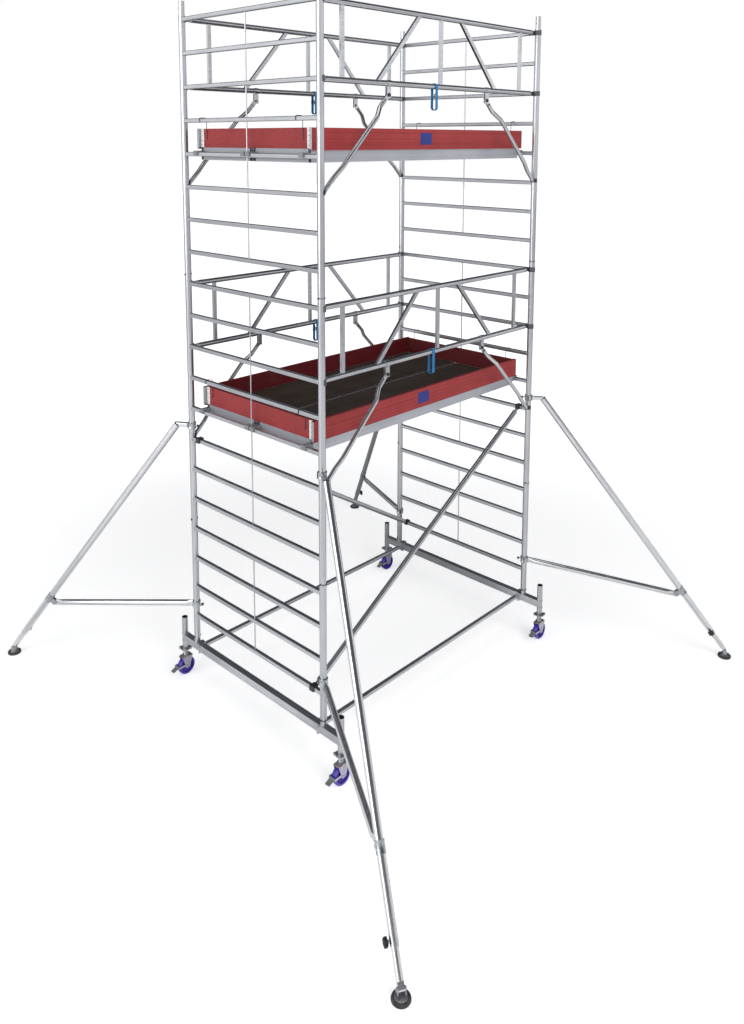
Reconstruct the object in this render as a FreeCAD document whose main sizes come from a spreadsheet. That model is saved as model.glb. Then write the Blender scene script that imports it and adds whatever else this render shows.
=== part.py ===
"""Mobile tower scaffold: a two-deck aluminium tower on four castors with four outriggers.

Frame: millimetres, +Z up. The origin is on the ground at the middle of the tower's plan.
X runs along the decks and Y across the end frames. Every node is exported to parts/NODE.step.
"""
import FreeCAD, Part
import math
import os
import re

import Sketcher
from FreeCAD import Placement, Rotation, Vector

SIZES = {
    # the tower's grid
    "bay_length": 2500.0,
    "bay_width": 1510.0,
    "first_rung_height": 595.0,
    "rung_pitch": 250.0,
    # end frames
    "upright_diameter": 50.0,
    "upright_wall": 3.0,
    "upright_overrun": 30.0,
    "rung_size": 32.0,
    "rung_wall": 2.0,
    "rung_corner": 6.0,
    "rod_diameter": 10.0,
    "spigot_rise": 105.0,
    "spigot_seat": 60.0,
    "spigot_wall": 2.5,
    "spigot_clearance": 0.3,
    "clip_height": 42.0,
    "clip_hole": 9.0,
    "clip_pin": 8.0,
    "clip_wire": 4.0,
    "clip_gap": 3.0,
    # base beams and rails
    "beam_width": 50.0,
    "beam_depth": 60.0,
    "beam_wall": 3.0,
    "beam_top_height": 360.0,
    "base_rail_diameter": 40.0,
    "base_rail_wall": 2.0,
    "hook_width": 40.0,
    "hook_plate": 8.0,
    "hook_lip": 26.0,
    "hook_foot": 12.5,
    "wing_nut_span": 46.0,
    "wing_nut_hub": 24.0,
    "wing_nut_height": 15.0,
    "wing_nut_web": 6.0,
    # castors
    "castor_offset": 175.0,
    "castor_tube_wall": 4.0,
    "castor_tube_top": 503.0,
    "castor_tube_bottom": 240.0,
    "spindle_diameter": 40.0,
    "spindle_length": 300.0,
    "spindle_fit": 0.08,
    "spindle_washer_diameter": 60.0,
    "spindle_washer_height": 6.0,
    "nut_diameter": 84.0,
    "nut_height": 20.0,
    "nut_hub": 59.0,
    "nut_flange_height": 10.0,
    "nut_lobe": 24.0,
    "nut_lobe_height": 16.0,
    "nut_gap": 0.5,
    "kingpin_diameter": 16.0,
    "pivot_fit": 0.05,
    "fork_plate": 6.0,
    "fork_length": 100.0,
    "fork_side": 3.0,
    "fork_waist": 44.8,
    "fork_foot": 28.0,
    "fork_foot_drop": 14.0,
    "fork_ear_height": 24.0,
    "wheel_diameter": 150.0,
    "wheel_width": 48.0,
    "wheel_gap": 3.0,
    "wheel_hub": 48.0,
    "wheel_hub_flare": 3.0,
    "wheel_web": 21.0,
    "wheel_rim_depth": 21.0,
    "tyre_depth": 16.5,
    "tyre_shoulder": 4.5,
    "wheel_rim_width": 44.0,
    "wheel_tread_width": 32.6,
    "axle_diameter": 14.0,
    "pedal_length": 56.0,
    "pedal_thickness": 8.0,
    "pedal_width": 44.0,
    "pedal_pivot": 8.0,
    # diagonal braces
    "brace_diameter": 42.0,
    "brace_wall": 2.0,
    "brace_inset": 100.0,
    "brace_stand_off": 62.0,
    "brace_lug_width": 24.0,
    "brace_lug_thickness": 16.0,
    "hook_clearance": 0.5,
    # platforms and decks
    "deck_side_room": 143.0,
    "platform_gap": 12.0,
    "platform_end_gap": 50.0,
    "side_beam_width": 28.0,
    "side_beam_drop": 42.0,
    "deck_rise": 50.0,
    "deck_thickness": 12.0,
    "deck_lip": 4.0,
    "deck_clearance": 0.5,
    "end_beam_width": 26.0,
    "cross_tie_width": 30.0,
    "cross_tie_height": 25.0,
    "claw_width": 42.0,
    "claw_plate": 10.0,
    "claw_lip": 8.0,
    # toe boards
    "toe_board_thickness": 22.0,
    "toe_board_top": 190.0,
    "toe_board_overlap": 10.0,
    "toe_board_clearance": 3.0,
    "toe_board_end_gap": 33.0,
    # guard frames
    "guard_inset": 28.0,
    "guard_rail_diameter": 40.0,
    "guard_rail_wall": 2.0,
    "guard_rail_end_gap": 62.0,
    "guard_post": 30.0,
    "guard_post_depth": 20.0,
    "guard_post_inset": 161.0,
    "guard_diagonal_foot": 690.0,
    "guard_diagonal_head": 234.0,
    "grip_thickness": 7.0,
    "grip_height": 40.0,
    "grip_clearance": 0.5,
    "grip_mouth": 4.0,
    "tongue_height": 32.0,
    "bracket_spacing": 575.0,
    "bracket_width": 40.0,
    "bracket_drop": 80.0,
    "bracket_plate": 4.0,
    "bracket_slot": 12.0,
    "bolt_diameter": 10.0,
    "bolt_head_diameter": 20.0,
    "bolt_head_height": 7.0,
    "bolt_nut_diameter": 18.0,
    "bolt_nut_height": 8.0,
    # guard struts
    "strut_diameter": 32.0,
    "strut_wall": 2.5,
    "strut_offset": 42.0,
    "strut_bend": 60.0,
    "strut_head_straight": 120.0,
    "strut_head_joggle": 100.0,
    "strut_foot_straight": 129.0,
    "strut_foot_joggle": 92.0,
    "strut_tube_start": 44.0,
    "strut_end_plate": 11.0,
    "strut_foot_rise": 20.0,
    "strut_grip_height": 34.0,
    # straps
    "strap_width": 28.0,
    "strap_thickness": 3.0,
    "strap_drop": 150.0,
    "strap_gap": 1.5,
    "strap_place": 69.0,
    # outriggers
    "outrigger_reach_x": 869.0,
    "outrigger_reach_y": 1506.0,
    "upper_coupler_rise": 105.0,
    "lower_coupler_rise": 97.0,
    "coupler_height": 50.0,
    "coupler_wall": 8.0,
    "coupler_stud": 11.0,
    "coupler_stud_length": 34.0,
    "coupler_stud_offset": 8.0,
    "coupler_clearance": 0.5,
    "arm_length": 125.0,
    "arm_depth": 34.0,
    "leg_diameter": 52.0,
    "leg_wall": 2.5,
    "leg_cap": 5.0,
    "foot_tube_diameter": 44.0,
    "foot_tube_wall": 2.5,
    "foot_tube_overlap": 620.0,
    "leg_end_height": 205.0,
    "telescope_fit": 1.5,
    "strut_collar_out": 1360.0,
    "strut_collar_length": 70.0,
    "collar_lug": 16.0,
    "collar_reach": 48.0,
    "collar_grip": 12.0,
    "outrigger_strut_diameter": 48.0,
    "knob_diameter": 56.0,
    "knob_thickness": 24.0,
    "knob_hub": 42.6,
    "knob_lobe": 15.7,
    "knob_stem": 18.6,
    "knob_stem_length": 30.0,
    "knob_stand_off": 12.0,
    "foot_diameter": 110.0,
    "foot_thickness": 22.0,
    "foot_pivot_height": 62.0,
    "foot_pivot_diameter": 14.0,
    "foot_ear": 6.0,
    "foot_eye_diameter": 28.0,
    "foot_neck_thickness": 36.0,
    "foot_neck_length": 35.0,
    "foot_neck_reach": 35.0,
    "foot_plug": 7.5,
}

BOTTOM_RUNGS = (1, 4)
MIDDLE_RUNGS = (5, 12)
TOP_RUNGS = (13, 20)
DECK_RUNGS = {"lower": 8, "upper": 16}
RAIL_RUNGS_ABOVE_DECK = 2
RUNGS_BETWEEN_RAILS = 2
STRUT_RUNGS_BELOW_RAIL = 3
OUTRIGGER_RUNGS = {"upper": 7, "lower": 1}
BRACE_RUNGS = (1, 7)
CROSS_TIES = 3
NUT_LOBES = 4
KNOB_LOBES = 6
PEDAL_SLOPE = 22.0
PEDAL_PIVOT_ANGLE = 8.0
CORNERS = (("near_left", -1, -1), ("far_left", -1, 1), ("near_right", 1, -1), ("far_right", 1, 1))

UP = Vector(0, 0, 1)
ALONG = Vector(1, 0, 0)
ACROSS = Vector(0, 1, 0)
ORIGIN = Vector(0, 0, 0)
TURNED = Rotation(UP, 180)

doc = FreeCAD.newDocument("tower_scaffold")
sheet = doc.addObject("Spreadsheet::Sheet", "dims")
for row, (alias, number) in enumerate(SIZES.items(), start=1):
    sheet.set(f"A{row}", alias.replace("_", " "))
    sheet.set(f"B{row}", str(number))
    sheet.setAlias(f"B{row}", alias)
doc.recompute()

nodes = []


class Named:
    """The driving sizes as plain numbers, read by name."""


dim = Named()
for alias, number in SIZES.items():
    setattr(dim, alias, number)

half_length = dim.bay_length / 2
half_width = dim.bay_width / 2
platform_width = (dim.bay_width - dim.platform_gap) / 2 - dim.deck_side_room
PLATFORM_WIDTH = "((bay_width - platform_gap) / 2 - deck_side_room)"
upright_radius = dim.upright_diameter / 2
guard_plane = half_width - dim.guard_inset


def rung_height(rung):
    """Height of a rung's axis above the ground; rung 1 is the lowest."""
    return dim.first_rung_height + (rung - 1) * dim.rung_pitch


# ---------------------------------------------------------------- building blocks

def bound(text):
    """An expression with each size's name written as a cell of the sheet."""
    def cell(found):
        word = found.group()
        return f"dims.{word}" if word in SIZES else word
    return re.sub(r"[a-z]\w*", cell, text)


def bind(item, **expressions):
    """Tie properties of a document object to the sheet."""
    for name, text in expressions.items():
        item.setExpression(name, bound(text))
    return item


def facing(axis):
    """The rotation that turns +Z to the given direction."""
    return Rotation(UP, axis)


def rod(name, radius, length, base=ORIGIN, axis=UP):
    """A round bar from a base point along an axis."""
    bar = doc.addObject("Part::Cylinder", name)
    bind(bar, Radius=radius, Height=length)
    bar.Placement = Placement(base, facing(axis))
    return bar


def block(name, length, width, height, corner=ORIGIN, turn=Rotation()):
    """A box from its low corner."""
    box = doc.addObject("Part::Box", name)
    bind(box, Length=length, Width=width, Height=height)
    box.Placement = Placement(corner, turn)
    return box


def group(name, members):
    """Separate solids kept side by side in one object."""
    bundle = doc.addObject("Part::Compound", name)
    bundle.Links = members
    return bundle


def cut(name, base, *tools):
    """The base less its tools."""
    result = doc.addObject("Part::Cut", name)
    result.Base = base
    result.Tool = tools[0] if len(tools) == 1 else group(f"{name}_tools", list(tools))
    return result


def fuse(name, *members):
    """One solid from several."""
    result = doc.addObject("Part::MultiFuse", name)
    result.Shapes = list(members)
    result.Refine = True
    return result


def copy_of(master, name, base=ORIGIN, turn=Rotation()):
    """A placed copy of a master shape."""
    placed = group(name, [master])
    placed.Placement = Placement(base, turn)
    return placed


def tube(name, diameter, wall, length, base=ORIGIN, axis=UP):
    """A round tube from a base point along an axis."""
    outside = rod(f"{name}_outside", f"{diameter} / 2", length, base, axis)
    inside = rod(f"{name}_inside", f"{diameter} / 2 - {wall}", length, base, axis)
    return cut(name, outside, inside)


def span_tube(name, diameter, wall, start, end):
    """A round tube between two points; its length follows them."""
    length = repr((end - start).Length)
    return tube(name, diameter, wall, length, start, end - start)


def node(label, item):
    """Mark an object as a sub-part that is exported under this label."""
    item.Label = label
    nodes.append(item)
    return item


def new_body(name):
    """An empty body."""
    return doc.addObject("PartDesign::Body", name)


def new_sketch(body, name, role):
    """A sketch on one of the body's own origin planes."""
    plane = next(part for part in body.Origin.OriginFeatures if part.Role == role)
    sketch = body.newObject("Sketcher::SketchObject", name)
    sketch.AttachmentSupport = [(plane, "")]
    sketch.MapMode = "FlatFace"
    return sketch


def draw_rectangle(sketch, width, height, low_x=None, low_y=None):
    """A rectangle with bound sizes: centred, or with its low corner bound to two places."""
    corners = [Vector(-1, -1, 0), Vector(1, -1, 0), Vector(1, 1, 0), Vector(-1, 1, 0)]
    first = sketch.GeometryCount
    for index in range(4):
        sketch.addGeometry(Part.LineSegment(corners[index], corners[(index + 1) % 4]), False)
    bottom, right, top, left = range(first, first + 4)
    for one, other in ((bottom, right), (right, top), (top, left), (left, bottom)):
        sketch.addConstraint(Sketcher.Constraint("Coincident", one, 2, other, 1))
    for line in (bottom, top):
        sketch.addConstraint(Sketcher.Constraint("Horizontal", line))
    for line in (right, left):
        sketch.addConstraint(Sketcher.Constraint("Vertical", line))
    across = sketch.addConstraint(Sketcher.Constraint("DistanceX", bottom, 1, bottom, 2, 2.0))
    upward = sketch.addConstraint(Sketcher.Constraint("DistanceY", right, 1, right, 2, 2.0))
    sketch.setExpression(f"Constraints[{across}]", bound(width))
    sketch.setExpression(f"Constraints[{upward}]", bound(height))
    if low_x is None:
        sketch.addConstraint(Sketcher.Constraint("Symmetric", bottom, 1, top, 1, -1, 1))
        return
    place_x = sketch.addConstraint(Sketcher.Constraint("DistanceX", -1, 1, bottom, 1, -1.0))
    place_y = sketch.addConstraint(Sketcher.Constraint("DistanceY", -1, 1, bottom, 1, -1.0))
    sketch.setExpression(f"Constraints[{place_x}]", bound(low_x))
    sketch.setExpression(f"Constraints[{place_y}]", bound(low_y))


def draw_outline(sketch, points):
    """A closed outline of straight lines whose corners are bound to places in the sketch."""
    first = sketch.GeometryCount
    count = len(points)
    rough = []
    for index in range(count):
        angle = 2 * math.pi * index / count
        rough.append(Vector(math.cos(angle), math.sin(angle), 0))
    for index in range(count):
        sketch.addGeometry(Part.LineSegment(rough[index], rough[(index + 1) % count]), False)
    for index in range(count):
        following = first + (index + 1) % count
        sketch.addConstraint(Sketcher.Constraint("Coincident", first + index, 2, following, 1))
    for index, (place_x, place_y) in enumerate(points):
        line = first + index
        across = sketch.addConstraint(Sketcher.Constraint("DistanceX", -1, 1, line, 1, rough[index].x))
        upward = sketch.addConstraint(Sketcher.Constraint("DistanceY", -1, 1, line, 1, rough[index].y))
        sketch.setExpression(f"Constraints[{across}]", bound(place_x))
        sketch.setExpression(f"Constraints[{upward}]", bound(place_y))


def pad(body, sketch, name, length, centred=True):
    """Extrude a sketch, to both sides of its plane if centred."""
    solid = body.newObject("PartDesign::Pad", name)
    solid.Profile = sketch
    solid.Midplane = centred
    bind(solid, Length=length)
    body.Tip = solid
    return solid


def revolve(body, sketch, name):
    """Turn a sketch once round its own vertical axis."""
    solid = body.newObject("PartDesign::Revolution", name)
    solid.Profile = sketch
    solid.ReferenceAxis = (sketch, ["V_Axis"])
    solid.Angle = 360.0
    body.Tip = solid
    return solid


# ---------------------------------------------------------------- end frames

def make_rung():
    """A square tube with rounded corners along Y, centred on the origin."""
    body = new_body("rung")
    outline = new_sketch(body, "rung_outline", "XZ_Plane")
    draw_rectangle(outline, "rung_size", "rung_size")
    bar = pad(body, outline, "rung_bar", "bay_width")
    doc.recompute()
    long_edges = []
    for index, edge in enumerate(bar.Shape.Edges, start=1):
        if abs(edge.tangentAt(edge.FirstParameter).y) > 0.99:
            long_edges.append(f"Edge{index}")
    rounded = body.newObject("PartDesign::Fillet", "rung_corners")
    rounded.Base = (bar, long_edges)
    bind(rounded, Radius="rung_corner")
    hollow = new_sketch(body, "rung_hollow", "XZ_Plane")
    draw_rectangle(hollow, "rung_size - 2 * rung_wall", "rung_size - 2 * rung_wall")
    pocket = body.newObject("PartDesign::Pocket", "rung_bore")
    pocket.Profile = hollow
    pocket.Midplane = True
    bind(pocket, Length="bay_width + rung_size")
    body.Tip = pocket
    return body


def make_spigot(name, seated):
    """A joint tube that takes the next upright; a seated one also fills the top of the upright below."""
    radius = "upright_diameter / 2 - upright_wall - spigot_clearance"
    whole = rod(f"{name}_rise", radius, "spigot_rise")
    if seated:
        seat = rod(f"{name}_seat", "upright_diameter / 2 - upright_wall", "spigot_seat",
                   Vector(0, 0, -dim.spigot_seat))
        whole = fuse(f"{name}_whole", seat, whole)
    bore = rod(f"{name}_bore", f"{radius} - spigot_wall", "spigot_rise + spigot_seat",
               Vector(0, 0, -dim.spigot_seat))
    hole = rod(f"{name}_hole", "clip_hole / 2", "upright_diameter",
               Vector(-upright_radius, 0, dim.clip_height), ALONG)
    return cut(name, whole, bore, hole)


def make_ladder_frame(name, rungs, foot_height, foot_expression, rung, spigot):
    """An end frame at X = 0: two uprights with their spigots, rungs and a middle rod."""
    first, last = rungs
    top = rung_height(last) + dim.upright_overrun
    length = f"first_rung_height + {last - 1} * rung_pitch + upright_overrun - ({foot_expression})"
    pieces = []
    copes = []
    for side, place in (("near", -half_width), ("far", half_width)):
        foot = Vector(0, place, foot_height)
        shell = tube(f"{name}_{side}_tube", "upright_diameter", "upright_wall", length, foot)
        hole = rod(f"{name}_{side}_hole", "clip_hole / 2", "2 * upright_diameter",
                   foot + Vector(-dim.upright_diameter, 0, dim.clip_height), ALONG)
        drilled = cut(f"{name}_{side}_drilled", shell, hole)
        joint = copy_of(spigot, f"{name}_{side}_spigot", Vector(0, place, top))
        pieces.append(fuse(f"{name}_{side}_upright", drilled, joint))
        copes.append(rod(f"{name}_{side}_cope", "upright_diameter / 2", length, foot))
    rod_foot = Vector(0, 0, rung_height(first))
    rod_length = f"{last - first} * rung_pitch"
    copes.append(rod(f"{name}_rod_hole", "rod_diameter / 2", rod_length, rod_foot))
    bars = []
    for number in range(first, last + 1):
        bars.append(copy_of(rung, f"{name}_bar_{number}", Vector(0, 0, rung_height(number))))
    pieces.append(cut(f"{name}_rungs", group(f"{name}_bars", bars), *copes))
    pieces.append(rod(f"{name}_rod", "rod_diameter / 2", rod_length, rod_foot))
    return group(name, pieces)


def build_end_frames():
    """Three end frames stacked at each end of the tower."""
    rung = make_rung()
    spigot = make_spigot("frame_spigot", seated=True)
    stack = (
        ("bottom", BOTTOM_RUNGS, dim.beam_top_height, "beam_top_height"),
        ("middle", MIDDLE_RUNGS, rung_height(BOTTOM_RUNGS[1]) + dim.upright_overrun,
         f"first_rung_height + {BOTTOM_RUNGS[1] - 1} * rung_pitch + upright_overrun"),
        ("top", TOP_RUNGS, rung_height(MIDDLE_RUNGS[1]) + dim.upright_overrun,
         f"first_rung_height + {MIDDLE_RUNGS[1] - 1} * rung_pitch + upright_overrun"),
    )
    for level, rungs, foot_height, expression in stack:
        master = make_ladder_frame(f"{level}_frame", rungs, foot_height, expression, rung, spigot)
        for side, place in (("left", -half_length), ("right", half_length)):
            node(f"frame_{level}_{side}", copy_of(master, f"{level}_{side}", Vector(place, 0, 0)))


def build_retaining_clips():
    """Spring clips that hold each upright on the spigot below it."""
    pin = rod("clip_pin_bar", "clip_pin / 2", "upright_diameter + 2 * clip_gap + 2 * clip_wire",
              Vector(-upright_radius - dim.clip_gap - dim.clip_wire, 0, 0), ALONG)
    loop = doc.addObject("Part::Torus", "clip_loop")
    bind(loop, Radius1="upright_diameter / 2 + clip_gap", Radius2="clip_wire / 2")
    loop.Angle3 = 180.0
    clip = fuse("clip", pin, loop)
    feet = [dim.beam_top_height]
    feet += [rung_height(last) + dim.upright_overrun for last in (BOTTOM_RUNGS[1], MIDDLE_RUNGS[1])]
    clips = []
    for end in (-1, 1):
        for side in (-1, 1):
            for level, foot in enumerate(feet):
                spot = Vector(end * half_length, side * half_width, foot + dim.clip_height)
                turn = Rotation(UP, 0 if side > 0 else 180)
                clips.append(copy_of(clip, f"clip_{end}_{side}_{level}", spot, turn))
    node("retaining_clips", group("clips", clips))


# ---------------------------------------------------------------- base

def build_base_beams():
    """A box beam across each end, with a castor tube at each tip and a spigot for each upright."""
    body = new_body("beam")
    profile = new_sketch(body, "beam_profile", "XZ_Plane")
    draw_rectangle(profile, "beam_width", "beam_depth")
    draw_rectangle(profile, "beam_width - 2 * beam_wall", "beam_depth - 2 * beam_wall",
                   "beam_wall - beam_width / 2", "beam_wall - beam_depth / 2")
    pad(body, profile, "beam_bar", "bay_width + 2 * castor_offset")
    raised = copy_of(body, "beam_raised", Vector(0, 0, dim.beam_top_height - dim.beam_depth / 2))
    tubes = []
    copes = []
    tops = []
    post = make_spigot("base_spigot", seated=False)
    for side in (-1, 1):
        foot = Vector(0, side * (half_width + dim.castor_offset), dim.castor_tube_bottom)
        height = "castor_tube_top - castor_tube_bottom"
        tubes.append(tube(f"castor_tube_{side}", "(spindle_diameter + 2 * castor_tube_wall)",
                          "castor_tube_wall", height, foot))
        copes.append(rod(f"castor_cope_{side}", "spindle_diameter / 2 + castor_tube_wall", height, foot))
        tops.append(copy_of(post, f"base_post_{side}", Vector(0, side * half_width, dim.beam_top_height)))
    coped = cut("beam_coped", raised, *copes)
    master = group("base_beam", [coped] + tubes + tops)
    for side, place in (("left", -half_length), ("right", half_length)):
        node(f"base_beam_{side}", copy_of(master, f"beam_{side}", Vector(place, 0, 0)))


def make_wing_nut(name):
    """A wing nut on its bolt's end, its axis along +Z from the origin."""
    hub = rod(f"{name}_hub", "wing_nut_hub / 2", "wing_nut_height")
    wing = block(f"{name}_wings", "wing_nut_span", "wing_nut_web", "wing_nut_height",
                 Vector(-dim.wing_nut_span / 2, -dim.wing_nut_web / 2, 0))
    return fuse(name, hub, wing)


def build_base_rails():
    """Two rails that tie the beams together, each with a C-shaped hook round the beam at each end."""
    gap = dim.hook_clearance
    plate = dim.hook_plate
    inner_face = dim.beam_width / 2 + gap
    axis_height = dim.beam_top_height - dim.beam_depth / 2
    body = new_body("rail_hook")
    outline = new_sketch(body, "rail_hook_outline", "XZ_Plane")
    draw_outline(outline, [
        ("-beam_width / 2 - hook_clearance - hook_plate", "-beam_depth / 2 - hook_clearance - hook_plate"),
        ("hook_foot", "-beam_depth / 2 - hook_clearance - hook_plate"),
        ("hook_foot", "-beam_depth / 2 - hook_clearance"),
        ("-beam_width / 2 - hook_clearance", "-beam_depth / 2 - hook_clearance"),
        ("-beam_width / 2 - hook_clearance", "beam_depth / 2 + hook_clearance"),
        ("beam_width / 2 + hook_clearance", "beam_depth / 2 + hook_clearance"),
        ("beam_width / 2 + hook_clearance", "beam_depth / 2 - hook_lip"),
        ("beam_width / 2 + hook_clearance + hook_plate", "beam_depth / 2 - hook_lip"),
        ("beam_width / 2 + hook_clearance + hook_plate", "beam_depth / 2 + hook_clearance + hook_plate"),
        ("-beam_width / 2 - hook_clearance - hook_plate", "beam_depth / 2 + hook_clearance + hook_plate"),
    ])
    pad(body, outline, "rail_hook_bar", "hook_width")
    nut = make_wing_nut("rail_nut")
    hooked = copy_of(body, "rail_hook_placed")
    stud = copy_of(nut, "rail_nut_placed", Vector(0, 0, -dim.beam_depth / 2 - gap - plate),
                   Rotation(ALONG, 180))
    hook = fuse("rail_hook_whole", hooked, stud)
    reach = half_length - inner_face - plate
    place = half_width - upright_radius - dim.hook_width / 2 - gap
    rails = []
    for side in (-1, 1):
        height = Vector(0, side * place, axis_height)
        rails.append(tube(f"base_rail_{side}", "base_rail_diameter", "base_rail_wall",
                          "bay_length - beam_width - 2 * hook_clearance - 2 * hook_plate",
                          height + Vector(-reach, 0, 0), ALONG))
        for end in (-1, 1):
            turn = Rotation() if end > 0 else TURNED
            spot = height + Vector(end * half_length, 0, 0)
            rails.append(copy_of(hook, f"rail_hook_{side}_{end}", spot, turn))
    node("base_rails", group("rails", rails))


def make_rung_saddle(name, width, plate):
    """A hook that drops over a rung: an upside-down U, centred on the rung's axis."""
    body = new_body(name)
    outline = new_sketch(body, f"{name}_outline", "XZ_Plane")
    reach = f"rung_size / 2 + hook_clearance + {plate}"
    inner = "rung_size / 2 + hook_clearance"
    draw_outline(outline, [
        (f"-({reach})", "-rung_size / 2"), (f"-({inner})", "-rung_size / 2"),
        (f"-({inner})", inner), (inner, inner),
        (inner, "-rung_size / 2"), (reach, "-rung_size / 2"),
        (reach, reach), (f"-({reach})", reach),
    ])
    pad(body, outline, f"{name}_bar", width)
    return body


def build_diagonal_braces():
    """Two braces that hook over a low rung at one end and a high rung at the other."""
    saddle = make_rung_saddle("brace_saddle", "claw_width", "hook_plate")
    low_rung, high_rung = BRACE_RUNGS
    low = Vector(-half_length, 0, rung_height(low_rung))
    high = Vector(half_length, 0, rung_height(high_rung))
    slope = high - low
    slope.normalize()
    start = low + slope * dim.brace_stand_off
    end = high - slope * dim.brace_stand_off
    bar = span_tube("brace_bar", "brace_diameter", "brace_wall", start, end)
    tip_length = dim.brace_stand_off - dim.rung_size / 2
    lug_size = repr(tip_length)
    lugs = []
    for name, point, direction in (("low", start, slope * -1), ("high", end, slope)):
        turn = facing(direction)
        lug = block(f"brace_lug_{name}", "brace_lug_width", "brace_lug_thickness", lug_size)
        lug.Placement = Placement(point, turn).multiply(
            Placement(Vector(-dim.brace_lug_width / 2, -dim.brace_lug_thickness / 2, 0), Rotation()))
        lugs.append(lug)
    cope_low = copy_of(saddle, "brace_saddle_low", low)
    cope_high = copy_of(saddle, "brace_saddle_high", high)
    room = []
    for name, spot in (("low", low), ("high", high)):
        size = "rung_size + 2 * hook_clearance"
        half = dim.rung_size / 2 + dim.hook_clearance
        room.append(block(f"brace_room_{name}", size, "2 * claw_width", size,
                          spot - Vector(half, dim.claw_width, half)))
    ends = []
    for lug, hook, space in zip(lugs, (cope_low, cope_high), room):
        trimmed = cut(f"{lug.Name}_trimmed", lug, space)
        ends.append(fuse(f"{lug.Name}_end", trimmed, hook))
    master = group("brace", [bar] + ends)
    place = half_width - dim.brace_inset
    near = copy_of(master, "brace_near", Vector(0, -place, 0))
    far = copy_of(master, "brace_far", Vector(0, place, 0), TURNED)
    node("diagonal_braces", group("braces", [near, far]))


# ---------------------------------------------------------------- platforms and toe boards

def make_platform():
    """One platform frame, centred on the origin with the rungs' axis height at Z = 0."""
    body = new_body("side_beam")
    outline = new_sketch(body, "side_beam_outline", "YZ_Plane")
    web_height = "side_beam_drop + deck_rise - deck_thickness"
    draw_outline(outline, [
        ("-side_beam_width / 2", "-side_beam_drop"),
        ("side_beam_width / 2", "-side_beam_drop"),
        ("side_beam_width / 2", "deck_rise"),
        ("side_beam_width / 2 - deck_lip", "deck_rise"),
        ("side_beam_width / 2 - deck_lip", "deck_rise - deck_thickness"),
        ("-side_beam_width / 2", "deck_rise - deck_thickness"),
    ])
    draw_rectangle(outline, "side_beam_width - deck_lip", f"{web_height} - deck_lip",
                   "deck_lip / 2 - side_beam_width / 2", "deck_lip / 2 - side_beam_drop")
    pad(body, outline, "side_beam_bar", "bay_length - 2 * platform_end_gap")
    offset = platform_width / 2 - dim.side_beam_width / 2
    inside = platform_width / 2 - dim.side_beam_width
    beam_end = half_length - dim.platform_end_gap
    pieces = [copy_of(body, "side_beam_far", Vector(0, offset, 0)),
              copy_of(body, "side_beam_near", Vector(0, -offset, 0), TURNED)]
    inner_width = PLATFORM_WIDTH + " - 2 * side_beam_width"
    for end in (-1, 1):
        low_x = beam_end - dim.end_beam_width if end > 0 else -beam_end
        pieces.append(block(f"end_beam_{end}", "end_beam_width", inner_width,
                            "side_beam_drop + deck_rise", Vector(low_x, -inside, -dim.side_beam_drop)))
    spacing = dim.bay_length / (CROSS_TIES + 1)
    for number in range(CROSS_TIES):
        middle = (number - (CROSS_TIES - 1) / 2) * spacing
        base = dim.deck_rise - dim.deck_thickness - dim.deck_clearance - dim.cross_tie_height
        pieces.append(block(f"cross_tie_{number}", "cross_tie_width", inner_width, "cross_tie_height",
                            Vector(middle - dim.cross_tie_width / 2, -inside, base)))
    claw = make_platform_claw()
    for end in (-1, 1):
        for side in (-1, 1):
            turn = Rotation() if end > 0 else TURNED
            reach = Vector(end * half_length, side * (platform_width / 2 - dim.claw_width / 2), 0)
            pieces.append(copy_of(claw, f"claw_{end}_{side}", reach, turn))
    return group("platform", pieces)


def make_platform_claw():
    """A hook from the platform's end over the rung, for the +X end, centred on the rung's axis."""
    body = new_body("claw")
    outline = new_sketch(body, "claw_outline", "XZ_Plane")
    inner = "rung_size / 2 + hook_clearance"
    reach = "rung_size / 2 + hook_clearance + claw_plate"
    draw_outline(outline, [
        ("-platform_end_gap", "-rung_size / 2"), (f"-({inner})", "-rung_size / 2"),
        (f"-({inner})", inner), (inner, inner),
        (inner, "-claw_lip"), (reach, "-claw_lip"),
        (reach, reach), ("-platform_end_gap", reach),
    ])
    pad(body, outline, "claw_bar", "claw_width")
    return body


def make_deck_board():
    """The plywood board of one platform."""
    length = half_length - dim.platform_end_gap - dim.end_beam_width - dim.deck_clearance
    width = platform_width / 2 - dim.deck_lip - dim.deck_clearance
    low = Vector(-length, -width, dim.deck_rise - dim.deck_thickness + dim.deck_clearance)
    return block("deck_board", "bay_length - 2 * (platform_end_gap + end_beam_width + deck_clearance)",
                 PLATFORM_WIDTH + " - 2 * (deck_lip + deck_clearance)",
                 "deck_thickness - deck_clearance", low)


def make_toe_boards():
    """Four toe boards round one deck, with the rungs' axis height at Z = 0."""
    deck_edge = platform_width + dim.platform_gap / 2
    inner_face = deck_edge + dim.toe_board_clearance
    half_board = half_length - dim.toe_board_end_gap
    low = dim.deck_rise - dim.toe_board_overlap
    long_height = "toe_board_top - deck_rise + toe_board_overlap"
    boards = []
    for side in (-1, 1):
        low_y = inner_face if side > 0 else -inner_face - dim.toe_board_thickness
        boards.append(block(f"long_board_{side}", "bay_length - 2 * toe_board_end_gap",
                            "toe_board_thickness", long_height, Vector(-half_board, low_y, low)))
    outer_face = half_length - dim.platform_end_gap
    for end in (-1, 1):
        low_x = outer_face - dim.toe_board_thickness if end > 0 else -outer_face
        boards.append(block(f"end_board_{end}", "toe_board_thickness",
                            "2 * " + PLATFORM_WIDTH + " + platform_gap + toe_board_clearance",
                            "toe_board_top - deck_rise - deck_clearance",
                            Vector(low_x, -deck_edge - dim.toe_board_clearance / 2,
                                   dim.deck_rise + dim.deck_clearance)))
    return group("toe_boards", boards)


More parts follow.
